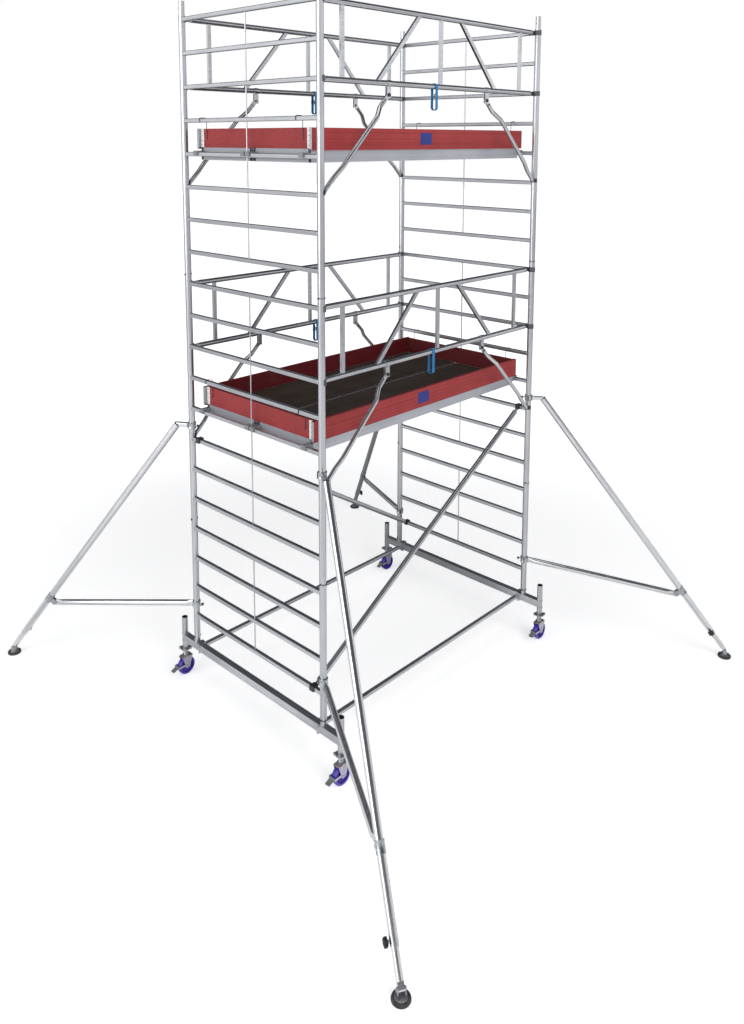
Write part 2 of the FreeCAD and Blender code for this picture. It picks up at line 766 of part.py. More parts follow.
def build_decks():
    """Two platforms, their boards and four toe boards at each deck level."""
    platform = make_platform()
    board = make_deck_board()
    toe_boards = make_toe_boards()
    offset = platform_width / 2 + dim.platform_gap / 2
    boards = []
    for level, rung in DECK_RUNGS.items():
        height = rung_height(rung)
        for side, place in (("near", -offset), ("far", offset)):
            spot = Vector(0, place, height)
            node(f"platform_{level}_{side}", copy_of(platform, f"platform_{level}_{side}_copy", spot))
            boards.append(copy_of(board, f"board_{level}_{side}", spot))
        node(f"toe_boards_{level}", copy_of(toe_boards, f"toe_{level}", Vector(0, 0, height)))
    node("deck_boards", group("boards", boards))


# ---------------------------------------------------------------- guard frames

def make_upright_grip(name, height, mouth_from):
    """A C-shaped grip round an upright for the +X end: open beyond its mouth and clear of the rungs."""
    ring = tube(f"{name}_ring", "(upright_diameter + 2 * grip_clearance + 2 * grip_thickness)",
                "grip_thickness", height, Vector(0, 0, -SIZES[height] / 2))
    low = -SIZES[height]
    mouth = block(f"{name}_mouth", "2 * upright_diameter", "4 * upright_diameter", f"2 * {height}",
                  Vector(mouth_from, -2 * dim.upright_diameter, low))
    room = dim.rung_size / 2 + dim.hook_clearance
    rung_room = block(f"{name}_rung_room", "2 * upright_diameter", "upright_diameter", f"2 * {height}",
                      Vector(-room, 0, low))
    return cut(name, ring, mouth, rung_room)


def make_guard_frame():
    """One guard frame: its lower rail's axis at Z = 0, in the plane Y = 0, outward along -Y."""
    rail_half = half_length - dim.guard_rail_end_gap
    post_reach = rail_half - dim.guard_post_inset
    height = RUNGS_BETWEEN_RAILS * dim.rung_pitch
    pieces = []
    for name, level in (("low", 0.0), ("high", height)):
        pieces.append(tube(f"guard_rail_{name}", "guard_rail_diameter", "guard_rail_wall",
                           "bay_length - 2 * guard_rail_end_gap", Vector(-rail_half, 0, level), ALONG))
        for end in (-1, 1):
            pieces.append(make_rail_grip(f"{name}_{end}", end, level))
    covers = []
    for name, level in (("low", 0.0), ("high", height)):
        covers.append(rod(f"guard_cover_{name}", "guard_rail_diameter / 2", "bay_length",
                          Vector(-half_length, 0, level), ALONG))
    lines = [(Vector(place, 0, 0), Vector(place, 0, height))
             for place in (-post_reach, 0.0, post_reach)]
    for end in (-1, 1):
        foot = Vector(end * dim.guard_diagonal_foot, 0, 0)
        lines.append((foot, Vector(end * dim.guard_diagonal_head, 0, height)))
    for number, (foot, head) in enumerate(lines):
        bar = make_flat_bar(f"guard_bar_{number}", foot, head)
        pieces.append(cut(f"guard_bar_{number}_cut", bar, *covers))
    for end in (-1, 1):
        pieces.extend(make_bracket(f"bracket_{end}", end * dim.bracket_spacing))
    return group("guard_frame", pieces)


def make_flat_bar(name, foot, head):
    """A flat-sided hollow bar between two points in the plane Y = 0."""
    length = repr((head - foot).Length)
    turn = facing(head - foot)
    outside = block(f"{name}_outside", "guard_post", "guard_post_depth", length)
    inside = block(f"{name}_inside", "guard_post - 2 * guard_rail_wall",
                   "guard_post_depth - 2 * guard_rail_wall", length)
    for box, width, depth in ((outside, dim.guard_post, dim.guard_post_depth),
                              (inside, dim.guard_post - 2 * dim.guard_rail_wall,
                               dim.guard_post_depth - 2 * dim.guard_rail_wall)):
        centred = Placement(Vector(-width / 2, -depth / 2, 0), Rotation())
        box.Placement = Placement(foot, turn).multiply(centred)
    return cut(name, outside, inside)


def make_rail_grip(name, end, level):
    """The flattened end of a guard rail and its grip on the upright."""
    grip = make_upright_grip(f"grip_{name}", "grip_height", dim.grip_mouth)
    if end < 0:
        grip = mirrored(f"grip_{name}_mirror", grip)
    placed = copy_of(grip, f"grip_{name}_placed", Vector(end * half_length, -dim.guard_inset, level))
    start = half_length - dim.guard_rail_end_gap
    stop = half_length - dim.rung_size / 2 - dim.hook_clearance
    low_x = start if end > 0 else -stop
    tongue = block(f"tongue_{name}", "guard_rail_end_gap - rung_size / 2 - hook_clearance",
                   "hook_plate", "tongue_height",
                   Vector(low_x, -dim.hook_plate / 2, level - dim.tongue_height / 2))
    clear = rod(f"tongue_room_{name}", "upright_diameter / 2 + grip_clearance", "2 * grip_height",
                Vector(end * half_length, -dim.guard_inset, level - dim.grip_height))
    return fuse(f"rail_end_{name}", placed, cut(f"tongue_cut_{name}", tongue, clear))


def mirrored(name, source):
    """The source mirrored end for end, in the plane X = 0."""
    flipped = doc.addObject("Part::Mirroring", name)
    flipped.Source = source
    flipped.Base = ORIGIN
    flipped.Normal = ALONG
    return flipped


def make_bracket(name, place):
    """Two plates that hang from a sleeve on the lower rail and hold a strut's bolt."""
    sleeve = tube(f"{name}_sleeve", "(guard_rail_diameter + 2 * bracket_plate)", "bracket_plate",
                  "bracket_width", Vector(place - dim.bracket_width / 2, 0, 0), ALONG)
    drop = dim.bracket_drop
    plates = []
    for side in (-1, 1):
        low_y = dim.bracket_slot / 2 if side > 0 else -dim.bracket_slot / 2 - dim.bracket_plate
        plates.append(block(f"{name}_plate_{side}", "bracket_width", "bracket_plate",
                            "bracket_drop + bracket_width / 2",
                            Vector(place - dim.bracket_width / 2, low_y, -drop - dim.bracket_width / 2)))
    rail = rod(f"{name}_rail_room", "guard_rail_diameter / 2", "bracket_width",
               Vector(place - dim.bracket_width / 2, 0, 0), ALONG)
    holder = cut(f"{name}_holder", fuse(f"{name}_body", sleeve, *plates), rail)
    reach = dim.bracket_slot / 2 + dim.bracket_plate
    shank = rod(f"{name}_shank", "bolt_diameter / 2", "bracket_slot + 2 * bracket_plate",
                Vector(place, -reach, -drop), ACROSS)
    head = rod(f"{name}_head", "bolt_head_diameter / 2", "bolt_head_height",
               Vector(place, -reach, -drop), ACROSS * -1)
    nut = rod(f"{name}_nut", "bolt_nut_diameter / 2", "bolt_nut_height",
              Vector(place, reach, -drop), ACROSS)
    return [fuse(f"{name}_whole", holder, shank, head, nut)]


def bent_bar(points, radius, bend):
    """A round solid along straight runs joined by arcs of one bend radius."""
    runs = []
    start = points[0]
    for before, corner, after in zip(points, points[1:], points[2:]):
        arrive = (corner - before).normalize()
        leave = (after - corner).normalize()
        angle = arrive.getAngle(leave)
        setback = bend * math.tan(angle / 2)
        first = corner - arrive * setback
        second = corner + leave * setback
        sag = bend / math.cos(angle / 2) - bend
        inward = (leave - arrive).normalize()
        runs.append(Part.LineSegment(start, first).toShape())
        runs.append(Part.Arc(first, corner + inward * sag, second).toShape())
        start = second
    runs.append(Part.LineSegment(start, points[-1]).toShape())
    spine = Part.Wire(runs)
    section = Part.Wire(Part.Circle(points[0], points[1] - points[0], radius).toShape())
    return spine.makePipeShell([section], True, True)


def make_strut():
    """The strut of the left-hand bracket: from its bolt at the origin down to the upright."""
    drop = STRUT_RUNGS_BELOW_RAIL * dim.rung_pitch - dim.bracket_drop - dim.strut_foot_rise
    foot = Vector(dim.bracket_spacing - half_length, -dim.guard_inset, -drop)
    run = -foot.x - upright_radius - dim.grip_clearance
    slope = Vector(-run, 0, -drop).normalize()
    length = math.hypot(run, drop)
    out = Vector(0, -dim.strut_offset, 0)
    end_out = Vector(0, -dim.guard_inset, 0)
    tube_start = slope * dim.strut_tube_start
    tube_end = slope * length + end_out
    first_bend = dim.strut_head_straight
    second_bend = first_bend + dim.strut_head_joggle
    last_bend = length - dim.strut_foot_straight
    third_bend = last_bend - dim.strut_foot_joggle
    spine = [tube_start, slope * first_bend, slope * second_bend + out,
             slope * third_bend + out, slope * last_bend + end_out, tube_end]
    radius = dim.strut_diameter / 2
    solid = bent_bar(spine, radius, dim.strut_bend)
    hollow = bent_bar(spine, radius - dim.strut_wall, dim.strut_bend)
    bar = doc.addObject("Part::Feature", "strut_bar")
    bar.Shape = solid.cut(hollow)
    half_plate = dim.strut_end_plate / 2
    eye = rod("strut_eye", "strut_diameter / 2", "strut_end_plate", Vector(0, -half_plate, 0), ACROSS)
    tongue = block("strut_tongue", "strut_diameter", "strut_end_plate", repr(tube_start.Length + radius))
    tongue.Placement = Placement(ORIGIN, facing(slope)).multiply(
        Placement(Vector(-radius, -half_plate, 0), Rotation()))
    hole = rod("strut_hole", "bolt_diameter / 2 + pivot_fit", "2 * strut_end_plate",
               Vector(0, -dim.strut_end_plate, 0), ACROSS)
    head = cut("strut_head", fuse("strut_head_body", eye, tongue), hole)
    open_grip = make_upright_grip("strut_grip", "strut_grip_height", -dim.grip_mouth)
    grip = mirrored("strut_grip_mirror", open_grip)
    placed = copy_of(grip, "strut_grip_placed", foot)
    clear = rod("strut_room", "upright_diameter / 2 + grip_clearance", "4 * strut_grip_height",
                foot - Vector(0, 0, 2 * dim.strut_grip_height))
    trimmed = cut("strut_bar_trimmed", bar, clear)
    return fuse("strut", trimmed, head, placed)


def make_strap():
    """A webbing loop over the lower rail, whose axis is at the origin."""
    gap = dim.guard_rail_diameter / 2 + dim.strap_gap
    outer = gap + dim.strap_thickness
    low = Vector(-dim.strap_width / 2, 0, -dim.strap_drop)
    loops = []
    sides = (
        ("outer", "guard_rail_diameter / 2 + strap_gap + strap_thickness", outer),
        ("inner", "guard_rail_diameter / 2 + strap_gap", gap),
    )
    for name, radius_text, radius in sides:
        high_end = rod(f"strap_{name}_top", radius_text, "strap_width", Vector(low.x, 0, 0), ALONG)
        low_end = rod(f"strap_{name}_bottom", radius_text, "strap_width", low, ALONG)
        web = block(f"strap_{name}_web", "strap_width", f"2 * ({radius_text})", "strap_drop",
                    low + Vector(0, -radius, 0))
        loops.append(fuse(f"strap_{name}", high_end, low_end, web))
    return cut("strap", *loops)


def build_guard_frames():
    """A guard frame, two struts and a strap on each long side of each deck."""
    frame = make_guard_frame()
    left_strut = make_strut()
    right_strut = mirrored("strut_mirror", left_strut)
    strap = make_strap()
    straps = []
    for level, rung in DECK_RUNGS.items():
        height = rung_height(rung + RAIL_RUNGS_ABOVE_DECK)
        for side, facing_out, turn in (("near", -1, Rotation()), ("far", 1, TURNED)):
            middle = Vector(0, facing_out * guard_plane, height)
            node(f"guard_frame_{level}_{side}", copy_of(frame, f"guard_{level}_{side}", middle, turn))
            spot = Vector(-dim.strap_place, 0, 0)
            straps.append(copy_of(strap, f"strap_{level}_{side}", middle + turn.multVec(spot), turn))
            for end, strut, bolt_x in (("left", left_strut, -dim.bracket_spacing),
                                       ("right", right_strut, dim.bracket_spacing)):
                bolt = middle + turn.multVec(Vector(bolt_x, 0, -dim.bracket_drop))
                true_end = end if facing_out < 0 else {"left": "right", "right": "left"}[end]
                node(f"guard_strut_{level}_{side}_{true_end}",
                     copy_of(strut, f"strut_{level}_{side}_{end}", bolt, turn))
    node("guard_straps", group("straps", straps))


# ---------------------------------------------------------------- castors

def make_spindle():
    """The adjusting spindle at the castor's axis, with the king pin that carries the fork."""
    foot = fork_top_height() + dim.nut_gap
    shaft = rod("spindle_shaft", "spindle_diameter / 2 - spindle_fit", "spindle_length", Vector(0, 0, foot))
    washer = rod("spindle_washer", "spindle_washer_diameter / 2", "spindle_washer_height",
                 Vector(0, 0, foot))
    pin_low = fork_top_height() - dim.fork_plate - 2 * dim.pivot_fit
    pin = rod("king_pin", "kingpin_diameter / 2", "fork_plate + 2 * pivot_fit + 2 * nut_gap",
              Vector(0, 0, pin_low))
    return fuse("spindle", shaft, washer, pin)


def make_spindle_nut():
    """The lobed nut under the castor tube that the spindle screws through."""
    low = dim.castor_tube_bottom - dim.nut_gap - dim.nut_height
    flange = rod("nut_flange", "nut_diameter / 2", "nut_flange_height", Vector(0, 0, low))
    hub = rod("nut_hub", "nut_hub / 2", "nut_height", Vector(0, 0, low))
    lobes = []
    for number in range(NUT_LOBES):
        angle = 360.0 * number / NUT_LOBES + 180.0 / NUT_LOBES
        out = Rotation(UP, angle).multVec(Vector(dim.nut_diameter / 2, 0, 0))
        lobes.append(rod(f"nut_lobe_{number}", "nut_lobe / 2", "nut_lobe_height", out + Vector(0, 0, low)))
    bore = rod("nut_bore", "spindle_diameter / 2", "3 * nut_height", Vector(0, 0, low - dim.nut_height))
    return cut("spindle_nut", fuse("nut_body", flange, hub, *lobes), bore)


def fork_top_height():
    """Top face of the fork's plate."""
    return dim.wheel_diameter + 2 * dim.wheel_gap + dim.fork_plate


def make_fork():
    """The swivelling fork: a top plate on two tapered sides with the wheel's axle."""
    top = fork_top_height()
    side_y = dim.wheel_width / 2 + dim.wheel_gap
    axle_height = dim.wheel_diameter / 2
    plate = block("fork_plate_bar", "fork_length", "wheel_width + 2 * wheel_gap + 2 * fork_side",
                  "fork_plate", Vector(-dim.fork_length / 2, -side_y - dim.fork_side, top - dim.fork_plate))
    body = new_body("fork_cheek")
    outline = new_sketch(body, "fork_cheek_outline", "XZ_Plane")
    draw_outline(outline, [
        ("-fork_foot / 2", "wheel_diameter / 2 - fork_foot_drop"),
        ("fork_foot / 2", "wheel_diameter / 2 - fork_foot_drop"),
        ("fork_waist / 2", "wheel_diameter / 2"),
        ("fork_length / 2", "wheel_diameter + 2 * wheel_gap + fork_plate / 2"),
        ("-fork_length / 2", "wheel_diameter + 2 * wheel_gap + fork_plate / 2"),
        ("-fork_waist / 2", "wheel_diameter / 2"),
    ])
    pad(body, outline, "fork_cheek_bar", "fork_side")
    cheeks = []
    for side in (-1, 1):
        cheek_spot = Vector(0, side * (side_y + dim.fork_side / 2), 0)
        cheeks.append(copy_of(body, f"fork_cheek_{side}", cheek_spot))
    axle = rod("fork_axle", "axle_diameter / 2", "wheel_width + 2 * wheel_gap + 4 * fork_side",
               Vector(0, -side_y - 2 * dim.fork_side, axle_height), ACROSS)
    hole = rod("fork_pin_hole", "kingpin_diameter / 2 + pivot_fit", "4 * fork_plate",
               Vector(0, 0, top - 2 * dim.fork_plate))
    pivot = pedal_pivot_place()
    rod_pin = rod("fork_pedal_pin", "pedal_pivot / 2", "wheel_width + 2 * wheel_gap",
                  Vector(pivot.x, -side_y, pivot.z), ACROSS)
    ears = []
    for side in (-1, 1):
        low_y = side_y if side > 0 else -side_y - dim.fork_side
        corner = Vector(pivot.x - dim.pedal_pivot, low_y, pivot.z - dim.fork_ear_height / 2)
        ears.append(block(f"fork_ear_{side}", repr(-pivot.x - dim.fork_foot / 2), "fork_side",
                          "fork_ear_height", corner))
    return cut("fork", fuse("fork_body", plate, *cheeks, axle, *ears, rod_pin), hole)


def pedal_pivot_place():
    """The brake pedal's pivot, just clear of the tyre."""
    radius = dim.wheel_diameter / 2
    out = radius + dim.wheel_gap + dim.pedal_pivot
    angle = math.radians(PEDAL_PIVOT_ANGLE)
    return Vector(-out * math.cos(angle), 0, radius + out * math.sin(angle))


def make_wheel():
    """The wheel, turned about its axle along Y."""
    body = new_body("wheel")
    outline = new_sketch(body, "wheel_outline", "XY_Plane")
    section = [
        ("wheel_hub / 2", "wheel_width / 2"),
        ("wheel_hub / 2 + wheel_hub_flare", "wheel_web / 2"),
        ("wheel_diameter / 2 - wheel_rim_depth", "wheel_web / 2"),
        ("wheel_diameter / 2 - tyre_depth", "wheel_rim_width / 2"),
        ("wheel_diameter / 2 - tyre_shoulder", "wheel_rim_width / 2"),
        ("wheel_diameter / 2", "wheel_tread_width / 2"),
    ]
    bore = ("axle_diameter / 2 + pivot_fit", "wheel_width / 2")
    near_half = [(radius, f"-{half}") for radius, half in [bore] + section]
    draw_outline(outline, near_half + section[::-1] + [bore])
    revolve(body, outline, "wheel_turned")
    return body


def make_pedal():
    """The brake pedal, from its pivot outward along -X."""
    pivot = pedal_pivot_place()
    eye = rod("pedal_eye", "pedal_pivot", "pedal_width", pivot - Vector(0, dim.pedal_width / 2, 0), ACROSS)
    plate = block("pedal_plate", "pedal_length", "pedal_width", "pedal_thickness")
    slope = Rotation(ACROSS, -PEDAL_SLOPE)
    plate.Placement = Placement(pivot, slope).multiply(
        Placement(Vector(-dim.pedal_length, -dim.pedal_width / 2, -dim.pedal_thickness / 2), Rotation()))
    hole = rod("pedal_hole", "pedal_pivot / 2 + pivot_fit", "2 * pedal_width",
               pivot - Vector(0, dim.pedal_width, 0), ACROSS)
    return cut("pedal", fuse("pedal_body", eye, plate), hole)


def build_castors():
    """A spindle, fork, wheel and brake pedal at each corner."""
    spindle = make_spindle()
    spindle_nut = make_spindle_nut()
    fork = make_fork()
    wheel = make_wheel()
    pedal = make_pedal()
    lift = Vector(0, 0, dim.wheel_diameter / 2)
    nuts = []
    for corner, end, side in CORNERS:
        spot = Vector(end * half_length, side * (half_width + dim.castor_offset), 0)
        node(f"castor_spindle_{corner}", copy_of(spindle, f"spindle_{corner}", spot))
        node(f"castor_fork_{corner}", copy_of(fork, f"fork_{corner}", spot))
        node(f"castor_wheel_{corner}", copy_of(wheel, f"wheel_{corner}", spot + lift))
        node(f"castor_pedal_{corner}", copy_of(pedal, f"pedal_{corner}", spot))
        nuts.append(copy_of(spindle_nut, f"nut_{corner}", spot))
    node("castor_nuts", group("nuts", nuts))


# ---------------------------------------------------------------- outriggers

def leg_points():
    """The leg's top end, the end of its outer tube and its foot pivot, in the plane Y = 0."""
    reach = math.hypot(dim.outrigger_reach_x, dim.outrigger_reach_y)
    top = Vector(dim.arm_length, 0, rung_height(OUTRIGGER_RUNGS["upper"]) + dim.upper_coupler_rise)
    pivot = Vector(reach, 0, dim.foot_pivot_height)
    share = (top.z - dim.leg_end_height) / (top.z - pivot.z)
    return top, top + (pivot - top) * share, pivot


def make_coupler(name, height):
    """A clamp ring round the upright with a bolt and a wing nut on its inner side."""
    low = height - dim.coupler_height / 2
    ring = rod(f"{name}_ring", "upright_diameter / 2 + coupler_clearance + coupler_wall", "coupler_height",
               Vector(0, 0, low))
    bore = rod(f"{name}_bore", "upright_diameter / 2 + coupler_clearance", "2 * coupler_height",
               Vector(0, 0, low - dim.coupler_height / 2))
    radius = upright_radius + dim.coupler_clearance
    stud_foot = Vector(-radius - dim.coupler_wall / 2, dim.coupler_stud_offset, height)
    stud = rod(f"{name}_stud", "coupler_stud / 2", "coupler_stud_length", stud_foot, ALONG * -1)
    nut = make_wing_nut(f"{name}_nut")
    nut_spot = stud_foot - ALONG * (dim.coupler_stud_length - dim.wing_nut_height)
    wing = copy_of(nut, f"{name}_nut_placed", nut_spot, Rotation(ACROSS, -90))
    return cut(name, fuse(f"{name}_body", ring, stud, wing), bore)


def make_outrigger():
    """The clamped outrigger in the plane Y = 0 with the upright on the Z axis: arm, leg and strut."""
    top, leg_end, pivot = leg_points()
    upper = make_coupler("upper_coupler", top.z)
    low_height = rung_height(OUTRIGGER_RUNGS["lower"]) + dim.lower_coupler_rise
    lower = make_coupler("lower_coupler", low_height)
    ring_face = upright_radius + dim.coupler_clearance + dim.coupler_wall / 2
    arm = block("outrigger_arm", "arm_length - upright_diameter / 2 - coupler_clearance - coupler_wall / 2",
                "arm_depth", "arm_depth", Vector(ring_face, -dim.arm_depth / 2, top.z - dim.arm_depth / 2))
    slope = (pivot - top).normalize()
    leg = span_tube("leg_tube", "leg_diameter", "leg_wall", top, leg_end)
    cap = rod("leg_top_cap", "leg_diameter / 2", "leg_cap", top - slope * (dim.leg_cap / 2), slope)
    share = (dim.strut_collar_out - top.x) / (pivot.x - top.x)
    collar_spot = top + (pivot - top) * share
    collar = tube("leg_collar", "(leg_diameter + 2 * bracket_plate)", "bracket_plate",
                  "strut_collar_length",
                  collar_spot - slope * (dim.strut_collar_length / 2), slope)
    under = Vector(slope.z, 0, -slope.x)
    lug_length = dim.leg_diameter / 2 + dim.collar_reach
    lug = block("collar_lug_plate", "outrigger_strut_diameter", "collar_lug", repr(lug_length))
    turn = facing(under)
    lug.Placement = Placement(collar_spot, turn).multiply(
        Placement(Vector(-dim.outrigger_strut_diameter / 2, -dim.collar_lug / 2, 0), Rotation()))
    leg_room = rod("collar_room", "leg_diameter / 2", "4 * strut_collar_length",
                   collar_spot - slope * (2 * dim.strut_collar_length), slope)
    clevis = cut("collar_clevis", fuse("collar_body", collar, lug), leg_room)
    strut_start = Vector(ring_face, 0, low_height)
    strut_end = collar_spot + under * (lug_length - dim.collar_grip)
    strut = span_tube("outrigger_strut", "outrigger_strut_diameter", "brace_wall", strut_start, strut_end)
    ring_room = rod("strut_ring_room", "upright_diameter / 2 + coupler_clearance + coupler_wall",
                    "2 * coupler_height", Vector(0, 0, low_height - dim.coupler_height), UP)
    strut_cut = cut("outrigger_strut_cut", strut, clevis, ring_room)
    knob = make_knob(leg_end - slope * (dim.knob_diameter / 2))
    arm_and_leg = fuse("arm_and_leg", cut("outrigger_arm_cut", arm, upper), leg, cap)
    return group("outrigger", [upper, lower, arm_and_leg, clevis, strut_cut, knob])


def make_knob(spot):
    """The star knob that clamps the foot tube, on the leg's side."""
    start = dim.leg_diameter / 2 - dim.leg_wall / 2
    stem = rod("knob_stem_bar", "knob_stem / 2", "knob_stem_length",
               spot - Vector(0, start, 0), ACROSS * -1)
    face = spot - Vector(0, start + dim.knob_stand_off, 0)
    hub = rod("knob_hub_disc", "knob_hub / 2", "knob_thickness", face, ACROSS * -1)
    lobes = []
    for number in range(KNOB_LOBES):
        angle = 360.0 * number / KNOB_LOBES
        out = Rotation(ACROSS, angle).multVec(Vector((dim.knob_diameter - dim.knob_lobe) / 2, 0, 0))
        lobes.append(rod(f"knob_lobe_{number}", "knob_lobe / 2", "knob_thickness", face + out, ACROSS * -1))
    room = rod("knob_room", "leg_diameter / 2", "4 * knob_diameter",
               spot - leg_slope() * (2 * dim.knob_diameter), leg_slope())
    return cut("knob", fuse("knob_body", stem, hub, *lobes), room)


def leg_slope():
    """Unit direction down the leg."""
    top, _, pivot = leg_points()
    return (pivot - top).normalize()


def make_foot_tube():
    """The tube that slides in the leg, with an eye for the foot's pin."""
    _, leg_end, pivot = leg_points()
    slope = leg_slope()
    start = leg_end - slope * dim.foot_tube_overlap
    end = pivot - slope * dim.foot_neck_reach
    bar = span_tube("foot_tube_bar", "foot_tube_diameter", "foot_tube_wall", start, end)
    plug = rod("foot_tube_plug", "foot_tube_diameter / 2", "foot_plug", end - slope * dim.foot_plug, slope)
    neck = block("foot_neck", "foot_eye_diameter", "foot_neck_thickness", "foot_neck_length")
    neck.Placement = Placement(end, facing(slope)).multiply(
        Placement(Vector(-dim.foot_eye_diameter / 2, -dim.foot_neck_thickness / 2, 0), Rotation()))
    eye = rod("foot_eye", "foot_eye_diameter / 2", "foot_neck_thickness",
              pivot - Vector(0, dim.foot_neck_thickness / 2, 0), ACROSS)
    hole = rod("foot_eye_hole", "foot_pivot_diameter / 2 + pivot_fit", "2 * foot_neck_thickness",
               pivot - Vector(0, dim.foot_neck_thickness, 0), ACROSS)
    return cut("foot_tube", fuse("foot_tube_body", bar, plug, neck, eye), hole)


def make_foot():
    """The rubber-soled foot with two ears and the pin through them."""
    _, _, pivot = leg_points()
    sole = rod("foot_sole", "foot_diameter / 2", "foot_thickness", Vector(pivot.x, 0, 0))
    gap = dim.foot_neck_thickness / 2 + dim.hook_clearance
    ears = []
    for side in (-1, 1):
        low_y = gap if side > 0 else -gap - dim.foot_ear
        ears.append(block(f"foot_ear_{side}", "foot_eye_diameter", "foot_ear",
                          "foot_pivot_height + foot_eye_diameter / 2 - foot_thickness",
                          Vector(pivot.x - dim.foot_eye_diameter / 2, low_y, dim.foot_thickness)))
    pin_reach = gap + dim.foot_ear
    pin = rod("foot_pin", "foot_pivot_diameter / 2",
              "foot_neck_thickness + 2 * (hook_clearance + foot_ear)",
              pivot - Vector(0, pin_reach, 0), ACROSS)
    return fuse("foot", sole, *ears, pin)


def build_outriggers():
    """An outrigger, foot tube and foot at each corner, turned to its own direction."""
    outrigger = make_outrigger()
    foot_tube = make_foot_tube()
    foot = make_foot()
    for corner, end, side in CORNERS:
        angle = math.degrees(math.atan2(side * dim.outrigger_reach_y, end * dim.outrigger_reach_x))
        spot = Vector(end * half_length, side * half_width, 0)
        turn = Rotation(UP, angle)
        node(f"outrigger_{corner}", copy_of(outrigger, f"outrigger_{corner}_copy", spot, turn))
        node(f"outrigger_foot_tube_{corner}", copy_of(foot_tube, f"foot_tube_{corner}_copy", spot, turn))
        node(f"outrigger_foot_{corner}", copy_of(foot, f"foot_{corner}_copy", spot, turn))


def check_and_export():
    """Recompute, refuse any broken object and write one file for each node."""
    doc.recompute()
    for item in doc.Objects:
        if "Invalid" in item.State or "Error" in item.State:
            raise RuntimeError(f"{item.Name}: {item.State}")
    os.makedirs("parts", exist_ok=True)
    for item in nodes:
        if item.Shape.isNull() or not item.Shape.isValid():
            raise RuntimeError(f"{item.Label} has no valid shape")
        item.Shape.exportStep(f"parts/{item.Label}.step")
    print(f"{len(nodes)} nodes written")


build_end_frames()
build_retaining_clips()
build_base_beams()
build_base_rails()
build_diagonal_braces()
build_decks()
build_guard_frames()
build_castors()
build_outriggers()
check_and_export()
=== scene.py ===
"""Finishes and fittings of a rolling aluminium access tower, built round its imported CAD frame.

Metres, +Z up, origin on the ground at the middle of the tower's plan. X runs along the decks
and Y across the end frames. The tower's near side is at -Y and its left end at -X.
"""
import logging
import math
from dataclasses import dataclass, field
from enum import Enum
from typing import Callable, Iterable, Optional, Sequence

import bmesh
import bpy
from mathutils import Matrix, Vector


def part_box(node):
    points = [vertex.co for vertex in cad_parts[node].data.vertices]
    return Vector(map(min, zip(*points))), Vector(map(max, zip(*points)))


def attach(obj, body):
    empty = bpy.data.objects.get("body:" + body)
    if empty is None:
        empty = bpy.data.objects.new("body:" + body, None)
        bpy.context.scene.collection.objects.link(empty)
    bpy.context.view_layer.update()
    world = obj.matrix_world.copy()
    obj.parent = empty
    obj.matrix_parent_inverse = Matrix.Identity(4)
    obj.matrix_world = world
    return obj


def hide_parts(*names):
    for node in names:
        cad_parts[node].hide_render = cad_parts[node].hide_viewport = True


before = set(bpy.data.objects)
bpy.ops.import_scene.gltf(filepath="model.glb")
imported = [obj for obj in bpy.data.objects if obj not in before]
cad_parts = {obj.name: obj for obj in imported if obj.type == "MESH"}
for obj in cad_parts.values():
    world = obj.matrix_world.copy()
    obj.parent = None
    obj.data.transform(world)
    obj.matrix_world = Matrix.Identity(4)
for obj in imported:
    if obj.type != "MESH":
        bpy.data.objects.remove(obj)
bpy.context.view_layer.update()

log = logging.getLogger("tower")

Pair = tuple[float, float]
Triple = tuple[float, float, float]
Node = bpy.types.Node
Socket = bpy.types.NodeSocket
Tree = bpy.types.NodeTree
Material = bpy.types.Material
UP: Triple = (0.0, 0.0, 1.0)
ALONG: Triple = (1.0, 0.0, 0.0)
ACROSS: Triple = (0.0, 1.0, 0.0)
ROOT = "tower"
IDENTITY = Matrix.Identity(4)
SIDES = (-1, 1)
BEAD_CORNERS = 6
ROUND_CREASE = 60.0
WHITE = (1.0, 1.0, 1.0, 1.0)
BLACK = (0.0, 0.0, 0.0, 1.0)
RUNG_TREAD = 0.004
UPRIGHT_RIB = math.pi / 8
BEYOND_UPRIGHT = (0.0255, 0.0262)


class Slot(Enum):
    """The record's material slots."""

    TUBE = "aluminium_tube"
    PLATFORM = "platform_aluminium"
    DECK = "deck_plywood"
    TOE_BOARD = "toe_board_red"
    ZINC = "zinc_steel"
    CASTOR = "castor_steel"
    WHEEL = "castor_blue"
    PEDAL = "pedal_grey"
    RUBBER = "rubber_black"
    STRAP = "strap_blue"


def paint(red: int, green: int, blue: int) -> tuple[float, float, float, float]:
    """A colour from its usual 0 to 255 numbers, as the shader's linear light.

    Args:
        red: the red part, 0 to 255.
        green: the green part, 0 to 255.
        blue: the blue part, 0 to 255.

    Returns:
        The red, green, blue and alpha parts.
    """
    def linear(part: int) -> float:
        """One part of the colour in linear light."""
        share = part / 255.0
        return share / 12.92 if share <= 0.04045 else ((share + 0.055) / 1.055) ** 2.4
    return (linear(red), linear(green), linear(blue), 1.0)


# ---------------------------------------------------------------- mesh making

def ring(radius: float, steps: int = 16) -> list[Pair]:
    """The corners of a round section."""
    return [(radius * math.cos(2 * math.pi * k / steps), radius * math.sin(2 * math.pi * k / steps))
            for k in range(steps)]


